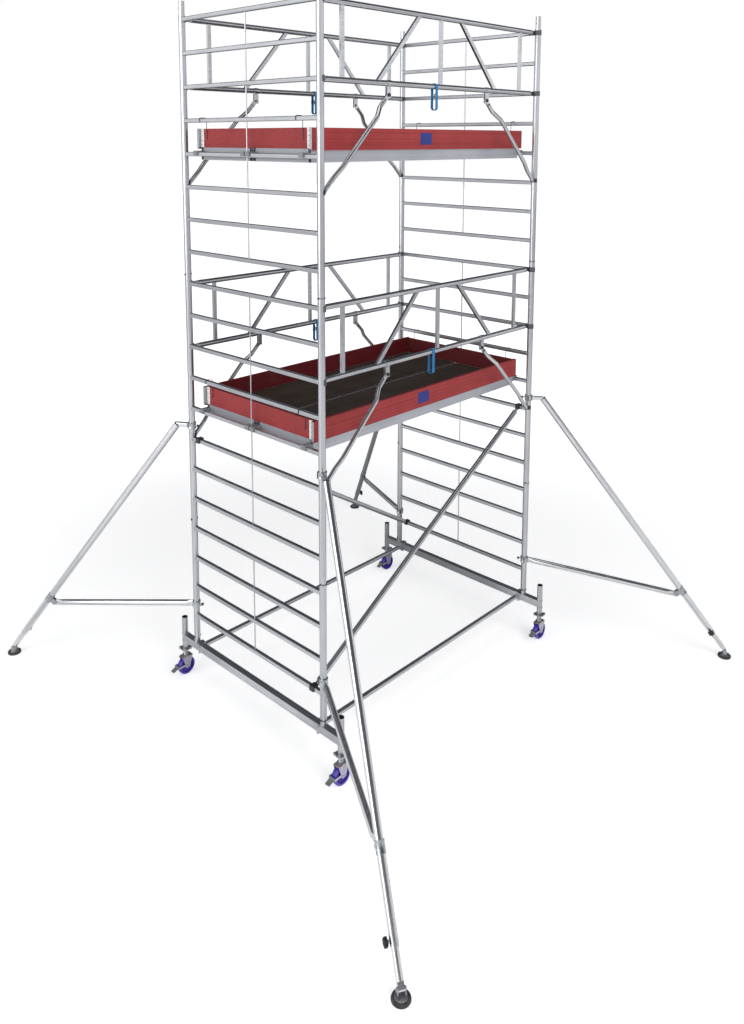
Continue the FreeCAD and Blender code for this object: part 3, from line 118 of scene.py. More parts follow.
def soft_box(width: float, height: float, corner: float, steps: int = 4) -> list[Pair]:
    """The corners of a rectangle with rounded corners, counter-clockwise round its middle.

    Args:
        width: the size along the first direction.
        height: the size along the second direction.
        corner: the corner radius.
        steps: how many parts each corner's arc has.

    Returns:
        The outline's points.
    """
    points: list[Pair] = []
    for number, (sx, sy) in enumerate(((1, 1), (-1, 1), (-1, -1), (1, -1))):
        for k in range(steps + 1):
            angle = math.pi / 2 * (number + k / steps)
            points.append((sx * (width / 2 - corner) + corner * math.cos(angle),
                           sy * (height / 2 - corner) + corner * math.sin(angle)))
    return points


def looking(origin: Sequence[float], direction: Sequence[float],
            hint: Sequence[float] = UP) -> Matrix:
    """A place whose Z axis points along a direction.

    Args:
        origin: where the place is.
        direction: where its Z axis points.
        hint: roughly where its Y axis points.

    Returns:
        The place as a matrix.
    """
    ahead = Vector(direction).normalized()
    side = Vector(hint).cross(ahead)
    if side.length < 1e-4:
        side = Vector(ALONG).cross(ahead)
        if side.length < 1e-4:
            side = Vector(ACROSS).cross(ahead)
    side.normalize()
    up = ahead.cross(side)
    turned = Matrix((side, up, ahead)).transposed().to_4x4()
    return Matrix.Translation(Vector(origin)) @ turned


class Workpiece:
    """A mesh in the making: solids are added to it, then it is handed over as one piece."""

    def __init__(self, name: str) -> None:
        """Start an empty piece with its name.

        Args:
            name: the piece's name.
        """
        self.name = name
        self.bm = bmesh.new()
        self.uv = self.bm.loops.layers.uv.new("UVMap")

    def _face(self, corners: Sequence[bmesh.types.BMVert], finish: int,
              where: Optional[Sequence[Pair]] = None) -> None:
        """Add one face with its finish number and texture places.

        Args:
            corners: the corners in order.
            finish: the number of the finish in the piece's list.
            where: each corner's place on the texture.
        """
        if len(set(corners)) < 3:
            return
        face = self.bm.faces.new(corners)
        face.material_index = finish
        face.smooth = True
        if where:
            for loop, (u, v) in zip(face.loops, where):
                loop[self.uv].uv = (u, v)

    def skin(self, rings: Sequence[Sequence[Vector]], closed: bool = False, capped: bool = True,
             finish: int = 0) -> None:
        """Join rings of equally many points into one skin.

        Args:
            rings: the rings in order; a ring may be one point.
            closed: whether the last ring joins the first.
            capped: whether open ends get a face.
            finish: the number of the finish in the piece's list.
        """
        made = [[self.bm.verts.new(point) for point in points] for points in rings]
        spans = list(zip(made, made[1:])) + ([(made[-1], made[0])] if closed else [])
        travelled = 0.0
        for number, (low, high) in enumerate(spans):
            step = (rings[(number + 1) % len(rings)][0] - rings[number][0]).length
            count = max(len(low), len(high))
            around = 0.0
            for k in range(count):
                following = (k + 1) % count
                wide = high if len(high) > 1 else low
                width = (wide[following].co - wide[k].co).length
                places = [(around, travelled), (around + width, travelled),
                          (around + width, travelled + step), (around, travelled + step)]
                around += width
                if len(low) == 1:
                    self._face([low[0], high[following], high[k]], finish,
                               [places[0], places[2], places[3]])
                elif len(high) == 1:
                    self._face([low[k], low[following], high[0]], finish, [places[0], places[1], places[2]])
                else:
                    self._face([low[k], low[following], high[following], high[k]], finish, places)
            travelled += step
        if capped and not closed:
            for end, order in ((made[0], -1), (made[-1], 1)):
                if len(end) > 2:
                    self._face(end[::order], finish, [(v.co.x, v.co.y) for v in end[::order]])

    def lathe(self, profile: Sequence[Pair], place: Matrix = IDENTITY, steps: int = 28,
              closed: bool = False, finish: int = 0) -> None:
        """Turn an outline round the place's Z axis.

        Args:
            profile: (radius, height) pairs; a radius of 0 makes a point.
            place: where the axis stands.
            steps: how many parts the turn has.
            closed: whether the outline's ends meet, as on a tube.
            finish: the number of the finish.
        """
        rings = []
        for radius, height in profile:
            if radius < 1e-7:
                rings.append([place @ Vector((0.0, 0.0, height))])
            else:
                rings.append([place @ Vector((x, y, height)) for x, y in ring(radius, steps)])
        self.skin(rings, closed, True, finish)

    def pipe(self, start: Sequence[float], end: Sequence[float], radius: float, wall: float = 0.0,
             steps: int = 28, finish: int = 0) -> None:
        """A round bar between two points, hollow if it has a wall.

        Args:
            start: where it starts.
            end: where it ends.
            radius: its radius.
            wall: the wall, or 0 for a solid bar.
            steps: how many parts its round has.
            finish: the number of the finish in the piece's list.
        """
        length = (Vector(end) - Vector(start)).length
        place = looking(start, Vector(end) - Vector(start))
        edge = min(0.0008, radius / 6)
        outside = [(radius - edge, 0.0), (radius, edge), (radius, length - edge), (radius - edge, length)]
        if wall:
            inside = radius - wall
            self.lathe(outside + [(inside, length), (inside, 0.0)], place, steps, True, finish)
        else:
            self.lathe([(0.0, 0.0)] + outside + [(0.0, length)], place, steps, False, finish)

    def sweep(self, path: Sequence[Vector], section: Sequence[Pair], closed: bool = False,
              hint: Sequence[float] = UP, finish: int = 0) -> None:
        """Carry a section along a path without twisting it.

        Args:
            path: the points the section's middle follows.
            section: the section's corners.
            closed: whether the path's ends meet.
            hint: where the section's second direction points at the start.
            finish: the number of the finish.
        """
        count = len(path)
        rings = []
        across = Vector(hint)
        for k, point in enumerate(path):
            before = path[(k - 1) % count] if closed or k else path[0]
            after = path[(k + 1) % count] if closed or k < count - 1 else path[-1]
            ahead = (after - before).normalized()
            across = (across - ahead * across.dot(ahead))
            across = across.normalized() if across.length > 1e-6 else ahead.orthogonal().normalized()
            side = across.cross(ahead)
            rings.append([point + side * a + across * b for a, b in section])
        self.skin(rings, closed, True, finish)

    def plate(self, outline: Sequence[Pair], thickness: float, place: Matrix = IDENTITY,
              bevel: float = 0.0, finish: int = 0) -> None:
        """A flat plate with this outline, from the place's Z = 0 up, with eased edges.

        Args:
            outline: the corners in the place's XY plane.
            thickness: the plate's thickness.
            place: where the plate lies.
            bevel: how far the edges are eased.
            finish: the number of the finish.
        """
        middle = Vector((sum(x for x, _ in outline), sum(y for _, y in outline), 0.0)) / len(outline)
        rings = []
        for inset, height in ((bevel, 0.0), (0.0, bevel), (0.0, thickness - bevel), (bevel, thickness)):
            points = []
            for x, y in outline:
                corner = Vector((x, y, 0.0))
                inward = middle - corner
                far = max(inward.length, 1e-6)
                corner += inward * min(1.0, inset / far)
                points.append(place @ Vector((corner.x, corner.y, height)))
            rings.append(points)
        self.skin(rings if bevel else [rings[0], rings[-1]], False, True, finish)

    def block(self, size: Triple, place: Matrix = IDENTITY, corner: float = 0.0015,
              finish: int = 0) -> None:
        """A box on the place's XY plane with rounded upright edges and eased rims."""
        self.plate(soft_box(size[0], size[1], corner, 3), size[2], place, min(corner, size[2] / 4) * 0.6,
                   finish)

    def dome(self, radius: float, height: float, place: Matrix, steps: int = 12, finish: int = 0) -> None:
        """A shallow rivet or screw head.

        Args:
            radius: its radius.
            height: its height.
            place: where it stands.
            steps: how many parts its round has.
            finish: the number of the finish in the piece's list.
        """
        profile = [(radius * math.cos(math.pi / 2 * k / 4), height * math.sin(math.pi / 2 * k / 4))
                   for k in range(4)] + [(0.0, height)]
        self.lathe(profile, place, steps, False, finish)

    def nut(self, across_flats: float, height: float, place: Matrix, finish: int = 0) -> None:
        """A hexagonal nut or bolt head with turned-down corners.

        Args:
            across_flats: the size across two flats.
            height: its height.
            place: where it stands.
            finish: the number of the finish in the piece's list.
        """
        radius = across_flats / math.sqrt(3)
        outline = [(radius * math.cos(math.pi / 3 * k), radius * math.sin(math.pi / 3 * k))
                   for k in range(6)]
        self.plate(outline, height, place, height * 0.12, finish)

    def hand_over(self, body: str, finishes: Sequence[Material],
                  stands_for: Iterable[str] = (), crease: float = 35.0) -> bpy.types.Object:
        """Finish the mesh and give it to the body it rides on.

        Args:
            body: the CAD body it moves with.
            finishes: its materials, in the order of their numbers.
            stands_for: the CAD nodes that it replaces.
            crease: the angle in degrees above which an edge stays sharp.

        Returns:
            The new object.
        """
        bmesh.ops.recalc_face_normals(self.bm, faces=self.bm.faces)
        mesh = bpy.data.meshes.new(self.name)
        self.bm.to_mesh(mesh)
        self.bm.free()
        for finish in finishes:
            mesh.materials.append(finish)
        mesh.set_sharp_from_angle(angle=math.radians(crease))
        piece = bpy.data.objects.new(self.name, mesh)
        bpy.context.scene.collection.objects.link(piece)
        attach(piece, body)
        nodes = list(stands_for)
        if nodes:
            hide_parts(*nodes)
        log.info("made %s: %d faces on %s", self.name, len(mesh.polygons), body)
        return piece


# ---------------------------------------------------------------- shader building

class Wiring:
    """A node tree with short ways to add and join its nodes."""

    def __init__(self, tree: Tree) -> None:
        """Take the tree to work on."""
        self.tree = tree

    def add(self, kind: str, **settings: object) -> Node:
        """A new node with these settings.

        Args:
            kind: the node's type.
            settings: the node's own settings.

        Returns:
            The new node.
        """
        node = self.tree.nodes.new(kind)
        for name, value in settings.items():
            setattr(node, name, value)
        return node

    def feed(self, target: Socket, value: object) -> None:
        """Link an output to a socket, or set the socket's own value.

        Args:
            target: the socket to feed.
            value: an output, or a plain value.
        """
        if isinstance(value, Socket):
            self.tree.links.new(value, target)
        else:
            target.default_value = value

    def maths(self, operation: str, first: object, second: object = 0.0, clamp: bool = False) -> Socket:
        """One sum on two numbers.

        Args:
            operation: which sum it is.
            first: the first value or output.
            second: the second value or output.
            clamp: whether the result is held from 0 to 1.

        Returns:
            The result.
        """
        node = self.add("ShaderNodeMath", operation=operation, use_clamp=clamp)
        self.feed(node.inputs[0], first)
        self.feed(node.inputs[1], second)
        return node.outputs[0]

    def times(self, first: object, second: object) -> Socket:
        """One number times another."""
        return self.maths("MULTIPLY", first, second)

    def vector(self, operation: str, first: object, second: object = (0.0, 0.0, 0.0)) -> Node:
        """One sum on two vectors.

        Args:
            operation: which sum it is.
            first: the first vector.
            second: the second vector.

        Returns:
            The node of the sum.
        """
        node = self.add("ShaderNodeVectorMath", operation=operation)
        self.feed(node.inputs[0], first)
        self.feed(node.inputs[1], second)
        return node

    def scaled(self, vector: object, factor: object) -> Socket:
        """A vector times a number.

        Args:
            vector: the vector.
            factor: the number.

        Returns:
            The longer or shorter vector.
        """
        node = self.add("ShaderNodeVectorMath", operation="SCALE")
        self.feed(node.inputs[0], vector)
        self.feed(node.inputs["Scale"], factor)
        return node.outputs[0]

    def split(self, vector: object) -> Node:
        """A vector's X, Y and Z.

        Args:
            vector: the vector.

        Returns:
            The node with the three parts.
        """
        node = self.add("ShaderNodeSeparateXYZ")
        self.feed(node.inputs[0], vector)
        return node

    def noise(self, place: object, scale: object, detail: float = 3.0, rough: float = 0.55) -> Socket:
        """Soft noise from 0 to 1.

        Args:
            place: where the noise is read.
            scale: how fine the noise is.
            detail: how many finer layers it has.
            rough: how strong the finer layers are.

        Returns:
            The noise.
        """
        node = self.add("ShaderNodeTexNoise")
        self.feed(node.inputs["Vector"], place)
        self.feed(node.inputs["Scale"], scale)
        node.inputs["Detail"].default_value = detail
        node.inputs["Roughness"].default_value = rough
        return node.outputs["Fac"]

    def span(self, value: object, low: float, high: float, to_low: float = 0.0,
             to_high: float = 1.0) -> Socket:
        """A number carried smoothly from one range to another, held at its ends.

        Args:
            value: the number to carry over.
            low: the low end.
            high: the high end.
            to_low: what the low end becomes.
            to_high: what the high end becomes.

        Returns:
            The number in its new range.
        """
        node = self.add("ShaderNodeMapRange", interpolation_type="SMOOTHSTEP")
        self.feed(node.inputs["Value"], value)
        node.inputs["From Min"].default_value = low
        node.inputs["From Max"].default_value = high
        node.inputs["To Min"].default_value = to_low
        node.inputs["To Max"].default_value = to_high
        return node.outputs["Result"]

    def blend(self, mask: object, low: object, high: object) -> Socket:
        """One colour where the mask is 0 and another where it is 1.

        Args:
            mask: where it is 0 and where 1.
            low: the colour where the mask is 0.
            high: the colour where the mask is 1.

        Returns:
            The colour.
        """
        node = self.add("ShaderNodeMix", data_type="RGBA")
        self.feed(node.inputs[0], mask)
        self.feed(node.inputs[6], low)
        self.feed(node.inputs[7], high)
        return node.outputs[2]

    def group(self, tree: Tree, **inputs: object) -> Node:
        """Place a node group with its values; underscores in names stand for spaces.

        Args:
            tree: the group to place.
            inputs: its values by name.

        Returns:
            The placed node.
        """
        node = self.add("ShaderNodeGroup", node_tree=tree)
        for name, value in inputs.items():
            self.feed(node.inputs[name.replace("_", " ")], value)
        return node


def make_group(name: str, inputs: dict[str, object], outputs: Sequence[str],
               fill: Callable[[Wiring, Node, Node], None]) -> Tree:
    """A shader node group with named sockets.

    Args:
        name: the group's name.
        inputs: its inputs with their usual values; a tuple makes a vector.
        outputs: the names of its number outputs.
        fill: lays the nodes between the group's input and output nodes.

    Returns:
        The group.
    """
    tree = bpy.data.node_groups.new(name, "ShaderNodeTree")
    for label, value in inputs.items():
        kind = "NodeSocketVector" if isinstance(value, tuple) else "NodeSocketFloat"
        socket = tree.interface.new_socket(name=label, in_out="INPUT", socket_type=kind)
        socket.default_value = value
    for label in outputs:
        tree.interface.new_socket(name=label, in_out="OUTPUT", socket_type="NodeSocketFloat")
    wiring = Wiring(tree)
    fill(wiring, wiring.add("NodeGroupInput"), wiring.add("NodeGroupOutput"))
    return tree


class Effects:
    """The shader groups that the finishes share."""

    def __init__(self) -> None:
        """Build each group once."""
        self.lines = make_group("drawn lines", {"Place": (0.0, 0.0, 0.0), "Along": UP,
                                                "Fineness": 260.0}, ["Lines"], self._lines)
        self.wear = make_group("handling wear", {"Place": (0.0, 0.0, 0.0), "Size": 6.0, "Amount": 0.5},
                               ["Scuffs", "Smudges"], self._wear)
        self.dirt = make_group("ground dirt", {"Place": (0.0, 0.0, 0.0), "Reach": 0.5, "Amount": 0.4},
                               ["Dirt"], self._dirt)
        self.grooves = make_group("grooves", {"Position": 0.0, "Pitch": 0.004, "Share": 0.5},
                                  ["Height"], self._grooves)
        self.spangle = make_group("zinc spangle", {"Place": (0.0, 0.0, 0.0), "Size": 140.0},
                                  ["Tone"], self._spangle)
        self.room = make_group("room light",
                               {"Direction": (0.0, 0.0, 0.0), "Dark Side": math.radians(43.5)},
                               ["Light"], self._room)
        self.upright = make_group("upright zone", {"Place": (0.0, 0.0, 0.0), "Half Length": 1.25,
                                                   "Half Width": 0.755}, ["Angle", "Distance"],
                                                   self._upright)

    @staticmethod
    def _lines(wiring: Wiring, inside: Node, outside: Node) -> None:
        """Fine streaks drawn out along one direction.

        Args:
            wiring: the tree being laid out.
            inside: the group's input node.
            outside: the group's output node.
        """
        place, along = inside.outputs["Place"], inside.outputs["Along"]
        run = wiring.vector("DOT_PRODUCT", place, along).outputs["Value"]
        flat = wiring.vector("SUBTRACT", place, wiring.scaled(along, wiring.times(run, 0.998))).outputs[0]
        wiring.feed(outside.inputs["Lines"], wiring.noise(flat, inside.outputs["Fineness"], 2.0, 0.65))

    @staticmethod
    def _wear(wiring: Wiring, inside: Node, outside: Node) -> None:
        """Short scuffs, and broad soft smudges.

        Args:
            wiring: the tree being laid out.
            inside: the group's input node.
            outside: the group's output node.
        """
        place, size = inside.outputs["Place"], inside.outputs["Size"]
        broad = wiring.noise(place, size, 3.0)
        fine = wiring.noise(place, wiring.times(size, 11.0), 4.0, 0.7)
        scuffs = wiring.span(wiring.times(broad, fine), 0.30, 0.42)
        wiring.feed(outside.inputs["Scuffs"], wiring.times(scuffs, inside.outputs["Amount"]))
        smudges = wiring.span(broad, 0.38, 0.68)
        wiring.feed(outside.inputs["Smudges"], wiring.times(smudges, inside.outputs["Amount"]))

    @staticmethod
    def _dirt(wiring: Wiring, inside: Node, outside: Node) -> None:
        """Dust that thins out with height above the ground.

        Args:
            wiring: the tree being laid out.
            inside: the group's input node.
            outside: the group's output node.
        """
        height = wiring.split(inside.outputs["Place"]).outputs["Z"]
        share = wiring.maths("DIVIDE", height, inside.outputs["Reach"])
        low = wiring.span(share, 0.0, 1.0, 1.0, 0.0)
        patches = wiring.span(wiring.noise(inside.outputs["Place"], 24.0, 5.0, 0.7), 0.35, 0.7)
        amount = wiring.times(wiring.times(low, patches), inside.outputs["Amount"])
        wiring.feed(outside.inputs["Dirt"], amount)

    @staticmethod
    def _grooves(wiring: Wiring, inside: Node, outside: Node) -> None:
        """Evenly spaced grooves: 1 on the ridges, 0 in the grooves.

        Args:
            wiring: the tree being laid out.
            inside: the group's input node.
            outside: the group's output node.
        """
        turns = wiring.maths("DIVIDE", inside.outputs["Position"], inside.outputs["Pitch"])
        wave = wiring.maths("PINGPONG", turns, 0.5)
        doubled = wiring.times(wave, 2.0)
        edge = wiring.maths("SUBTRACT", doubled, inside.outputs["Share"])
        wiring.feed(outside.inputs["Height"], wiring.span(edge, -0.15, 0.15))

    @staticmethod
    def _spangle(wiring: Wiring, inside: Node, outside: Node) -> None:
        """The crystal patches of a zinc coat.

        Args:
            wiring: the tree being laid out.
            inside: the group's input node.
            outside: the group's output node.
        """
        cells = wiring.add("ShaderNodeTexVoronoi")
        wiring.feed(cells.inputs["Vector"], inside.outputs["Place"])
        wiring.feed(cells.inputs["Scale"], inside.outputs["Size"])
        tone = wiring.add("ShaderNodeSeparateColor")
        wiring.feed(tone.inputs[0], cells.outputs["Color"])
        wiring.feed(outside.inputs["Tone"], tone.outputs[0])

    @staticmethod
    def _room(wiring: Wiring, inside: Node, outside: Node) -> None:
        """How bright the studio is round the compass: one dark side and faint panels between.

        Args:
            wiring: the tree being laid out.
            inside: the group's input node.
            outside: the group's output node.
        """
        parts = wiring.split(inside.outputs["Direction"])
        compass = wiring.maths("ARCTAN2", parts.outputs["Y"], parts.outputs["X"])
        turn = wiring.maths("SUBTRACT", compass, inside.outputs["Dark Side"])
        dark = wiring.span(wiring.maths("COSINE", turn), 0.25, 0.85)
        panels = wiring.span(wiring.maths("COSINE", wiring.times(turn, 7.0)), 0.1, 0.9, 0.0, 0.42)
        shade = wiring.maths("ADD", wiring.times(dark, 0.86), panels, True)
        wiring.feed(outside.inputs["Light"], wiring.maths("SUBTRACT", 1.0, shade))

    @staticmethod
    def _upright(wiring: Wiring, inside: Node, outside: Node) -> None:
        """The angle round the nearest upright and the distance from its axis.

        Args:
            wiring: the tree being laid out.
            inside: the group's input node.
            outside: the group's output node.
        """
        parts = wiring.split(inside.outputs["Place"])
        along = wiring.maths("SUBTRACT", wiring.maths("ABSOLUTE", parts.outputs["X"]),
                             inside.outputs["Half Length"])
        across = wiring.maths("SUBTRACT", wiring.maths("ABSOLUTE", parts.outputs["Y"]),
                              inside.outputs["Half Width"])
        wiring.feed(outside.inputs["Angle"], wiring.maths("ARCTAN2", across, along))
        squares = wiring.maths("ADD", wiring.times(along, along), wiring.times(across, across))
        wiring.feed(outside.inputs["Distance"], wiring.maths("SQRT", squares))


@dataclass(frozen=True)
class Finish:
    """What every finish shares: a name and how to start and close its material."""

    name: str

    def start(self) -> tuple[Material, Wiring, Node, Socket]:
        """A new material with its shader and the piece's own places.

        Returns:
            The material, its wiring, its shader and the places.
        """
        material = bpy.data.materials.new(self.name)
        material.use_nodes = True
        wiring = Wiring(material.node_tree)
        shader = material.node_tree.nodes["Principled BSDF"]
        place = wiring.add("ShaderNodeTexCoord").outputs["Object"]
        return material, wiring, shader, place

    @staticmethod
    def emboss(wiring: Wiring, shader: Node, height: Socket,
               strength: float, depth: float) -> None:
        """Raise the surface by a height from 0 to 1 times a depth in metres.

        Args:
            wiring: the tree being laid out.
            shader: the material's shader.
            height: the relief, from 0 to 1.
            strength: how strongly it shows.
            depth: the depth in metres.
        """
        bump = wiring.add("ShaderNodeBump")
        bump.inputs["Strength"].default_value = strength
        bump.inputs["Distance"].default_value = depth
        wiring.feed(bump.inputs["Height"], height)
        wiring.feed(shader.inputs["Normal"], bump.outputs["Normal"])


@dataclass(frozen=True)
class MetalFinish(Finish):
    """Bare or coated metal with drawing lines, smudges and dust."""

    light: tuple = paint(225, 227, 230)
    dark: tuple = paint(150, 153, 158)
    along: Triple = ALONG
    rough: float = 0.26
    metallic: float = 1.0
    fineness: float = 260.0
    spangled: bool = False
    dust: float = 0.25
    claw_from: float = 0.0
    claw: tuple = paint(38, 40, 43)
    ribs: float = 0.0
    ladder: bool = False
    mapped: bool = False

    def material(self, effects: Effects) -> Material:
        """The finish as a material.

        Args:
            effects: the shared shader groups.

        Returns:
            The new material.
        """
        material, wiring, shader, place = self.start()
        parts = wiring.split(place)
        skin = wiring.add("ShaderNodeUVMap", uv_map="UVMap").outputs[0] if self.mapped else place
        lines = wiring.group(effects.lines, Place=skin, Along=self.along, Fineness=self.fineness).outputs[0]
        relief = lines
        if self.ladder:
            lines, relief = self._ladder_lines(wiring, effects, place, parts, lines)
        wear = wiring.group(effects.wear, Place=place, Size=3.5, Amount=0.45)
        tone = wiring.span(lines, 0.25, 0.75)
        tone = wiring.times(tone, 0.55)
        tone = wiring.maths("ADD", tone, wiring.times(wear.outputs["Smudges"], 0.35), True)
        if self.spangled:
            crystals = wiring.group(effects.spangle, Place=place, Size=150.0).outputs[0]
            tone = wiring.maths("ADD", wiring.times(tone, 0.6), wiring.times(crystals, 0.4), True)
        colour = wiring.blend(tone, self.light, self.dark)
        dirt = wiring.group(effects.dirt, Place=place, Reach=0.6, Amount=self.dust).outputs[0]
        colour = wiring.blend(dirt, colour, paint(128, 118, 104))
        rough = wiring.maths("ADD", wiring.span(tone, 0.0, 1.0, self.rough, self.rough + 0.12),
                             wiring.times(dirt, 0.4), True)
        metallic = wiring.span(dirt, 0.0, 1.0, self.metallic, 0.2)
        if self.claw_from:
            reach = wiring.maths("ABSOLUTE", parts.outputs["X"])
            mask = wiring.span(reach, self.claw_from - 0.0004, self.claw_from + 0.0004)
            speckle = wiring.noise(place, 900.0, 2.0)
            coat = wiring.blend(speckle, self.claw, paint(62, 64, 68))
            colour = wiring.blend(mask, colour, coat)
            rough = wiring.maths("ADD", wiring.times(rough, wiring.maths("SUBTRACT", 1.0, mask)),
                                 wiring.times(mask, 0.42))
            metallic = wiring.times(metallic, wiring.span(mask, 0.0, 1.0, 1.0, 0.15))
        if self.ribs:
            ribs = wiring.group(effects.grooves, Position=parts.outputs["Z"], Pitch=self.ribs,
                                Share=0.16).outputs[0]
            relief = wiring.maths("ADD", wiring.times(relief, 0.3), ribs)
        wiring.feed(shader.inputs["Base Color"], colour)
        wiring.feed(shader.inputs["Roughness"], rough)
        wiring.feed(shader.inputs["Metallic"], metallic)
        self.emboss(wiring, shader, relief, 0.35 if (self.ribs or self.ladder) else 0.12, 0.0004)
        return material

    @staticmethod
    def _ladder_lines(wiring: Wiring, effects: Effects, place: Socket, parts: Node,
                      lines: Socket) -> tuple[Socket, Socket]:
        """Upright ribs on the uprights and a tread pattern on the rungs.

        Args:
            wiring: the material's tree.
            effects: the shared groups.
            place: the piece's own places.
            parts: those places split.
            lines: the streaks along the rungs.

        Returns:
            The streaks and the relief.
        """
        zone = wiring.group(effects.upright, Place=place)
        is_rung = wiring.span(zone.outputs["Distance"], *BEYOND_UPRIGHT)
        steady = wiring.group(effects.lines, Place=place, Along=UP, Fineness=260.0).outputs[0]
        mixed = wiring.maths("ADD", wiring.times(lines, is_rung),
                             wiring.times(steady, wiring.maths("SUBTRACT", 1.0, is_rung)))
        treads = wiring.group(effects.grooves, Position=parts.outputs["X"], Pitch=RUNG_TREAD,
                              Share=0.35).outputs[0]
        ribs = wiring.group(effects.grooves, Position=zone.outputs["Angle"], Pitch=UPRIGHT_RIB,
                            Share=0.12).outputs[0]
        relief = wiring.maths("ADD", wiring.times(treads, is_rung),
                              wiring.times(ribs, wiring.maths("SUBTRACT", 1.0, is_rung)))
        return mixed, relief


@dataclass(frozen=True)
class BoardFinish(Finish):
    """A film-faced board: its film, faint grain showing through and scuffs."""

    outside: tuple = paint(160, 54, 56)
    # Painted shade: the inside red is the outside red darkened for the faces that look in over the deck.
    inside: tuple = paint(100, 26, 32)
    grain: tuple = paint(140, 48, 50)
    bare: tuple = paint(150, 112, 80)
    # Whether the faces that look in over the deck get painted shade.
    shades_inner_faces: bool = True
    mesh_pitch: float = 0.0
    rough: float = 0.42
    shine: float = 0.35

    def material(self, effects: Effects) -> Material:
        """The finish as a material.

        Args:
            effects: the shared shader groups.

        Returns:
            The new material.
        """
        material, wiring, shader, place = self.start()
        parts = wiring.split(place)
        grain = wiring.group(effects.lines, Place=place, Along=ALONG, Fineness=120.0).outputs[0]
        wear = wiring.group(effects.wear, Place=place, Size=5.0, Amount=0.6)
        film = self.outside
        # Painted shade: faces that look in over the deck take the darker inside red.
        if self.shades_inner_faces:
            film = wiring.blend(self._painted_shade_faces(wiring, parts), self.outside, self.inside)
        shade = wiring.times(wiring.span(grain, 0.3, 0.75), 0.35)
        shade = wiring.maths("ADD", shade, wiring.times(wear.outputs["Smudges"], 0.25), True)
        dark_film = wiring.add("ShaderNodeMix", data_type="RGBA", blend_type="MULTIPLY")
        wiring.feed(dark_film.inputs[0], shade)
        wiring.feed(dark_film.inputs[6], film)
        wiring.feed(dark_film.inputs[7], self.grain)
        colour = wiring.blend(wiring.times(wear.outputs["Scuffs"], 0.22), dark_film.outputs[2], self.bare)
        relief = wiring.times(grain, 0.5)
        if self.mesh_pitch:
            relief = self._mesh_print(wiring, effects, parts)
            colour = wiring.blend(wiring.times(relief, 0.25), colour, self.grain)
        wiring.feed(shader.inputs["Base Color"], colour)
        rough = wiring.span(shade, 0.0, 0.6, self.rough, self.rough + 0.2)
        wiring.feed(shader.inputs["Roughness"], rough)
        shader.inputs["Specular IOR Level"].default_value = self.shine
        self.emboss(wiring, shader, relief, 0.4, 0.0005)
        return material

    @staticmethod
    def _painted_shade_faces(wiring: Wiring, parts: Node) -> Socket:
        """Where painted shade goes: 1 on the faces that look in over the deck, 0 on those that look out.

        Args:
            wiring: the tree being laid out.
            parts: the piece's own places, split.

        Returns:
            The mask.
        """
        normal = wiring.split(wiring.add("ShaderNodeNewGeometry").outputs["Normal"])
        end_out = wiring.times(wiring.maths("SIGN", parts.outputs["X"]), normal.outputs["X"])
        side_out = wiring.times(wiring.maths("SIGN", parts.outputs["Y"]), normal.outputs["Y"])
        outward = wiring.maths("ADD", end_out, side_out)
        near_end = wiring.span(wiring.maths("ABSOLUTE", parts.outputs["X"]), 1.16, 1.17)
        inner_long = wiring.span(outward, -0.5, 0.5, 1.0, 0.0)
        inner_end = wiring.span(end_out, -0.5, 0.5, 1.0, 0.0)
        flat = wiring.span(wiring.maths("ABSOLUTE", normal.outputs["X"]), 0.4, 0.6)
        end_part = wiring.times(wiring.times(inner_end, near_end), flat)
        long_part = wiring.times(inner_long, wiring.maths("SUBTRACT", 1.0, flat))
        return wiring.maths("ADD", end_part, long_part, True)

    def _mesh_print(self, wiring: Wiring, effects: Effects, parts: Node) -> Socket:
        """The crossed ribs pressed into an anti-slip film.

        Args:
            wiring: the tree being laid out.
            effects: the shared shader groups.
            parts: the piece's own places, split.

        Returns:
            The relief.
        """
        lean = wiring.maths("ADD", parts.outputs["X"], parts.outputs["Y"])
        back = wiring.maths("SUBTRACT", parts.outputs["X"], parts.outputs["Y"])
        first = wiring.group(effects.grooves, Position=lean, Pitch=self.mesh_pitch, Share=0.75).outputs[0]
        second = wiring.group(effects.grooves, Position=back, Pitch=self.mesh_pitch, Share=0.75).outputs[0]
        return wiring.maths("MAXIMUM", first, second)


@dataclass(frozen=True)
class MouldedFinish(Finish):
    """Moulded plastic, rubber or paint with a fine texture, marbling and dust."""

    light: tuple = paint(60, 62, 66)
    dark: tuple = paint(30, 31, 34)
    rough: float = 0.5
    texture: float = 700.0
    depth: float = 0.0002
    dust: float = 0.35
    coat: float = 0.0

    def material(self, effects: Effects) -> Material:
        """The finish as a material.

        Args:
            effects: the shared shader groups.

        Returns:
            The new material.
        """
        material, wiring, shader, place = self.start()
        fine = wiring.noise(place, self.texture, 3.0, 0.6)
        wear = wiring.group(effects.wear, Place=place, Size=14.0, Amount=0.8)
        shade = wiring.maths("ADD", wiring.times(fine, 0.5),
                             wiring.times(wear.outputs["Smudges"], 0.5), True)
        colour = wiring.blend(shade, self.light, self.dark)
        dirt = wiring.group(effects.dirt, Place=place, Reach=0.16, Amount=self.dust).outputs[0]
        colour = wiring.blend(dirt, colour, paint(122, 114, 102))
        wiring.feed(shader.inputs["Base Color"], colour)
        rough = wiring.maths("ADD", wiring.span(wear.outputs["Scuffs"], 0.0, 1.0, self.rough,
                                                self.rough + 0.2),
                             wiring.times(dirt, 0.3), True)
        wiring.feed(shader.inputs["Roughness"], rough)
        shader.inputs["Coat Weight"].default_value = self.coat
        self.emboss(wiring, shader, fine, 0.35, self.depth)
        return material


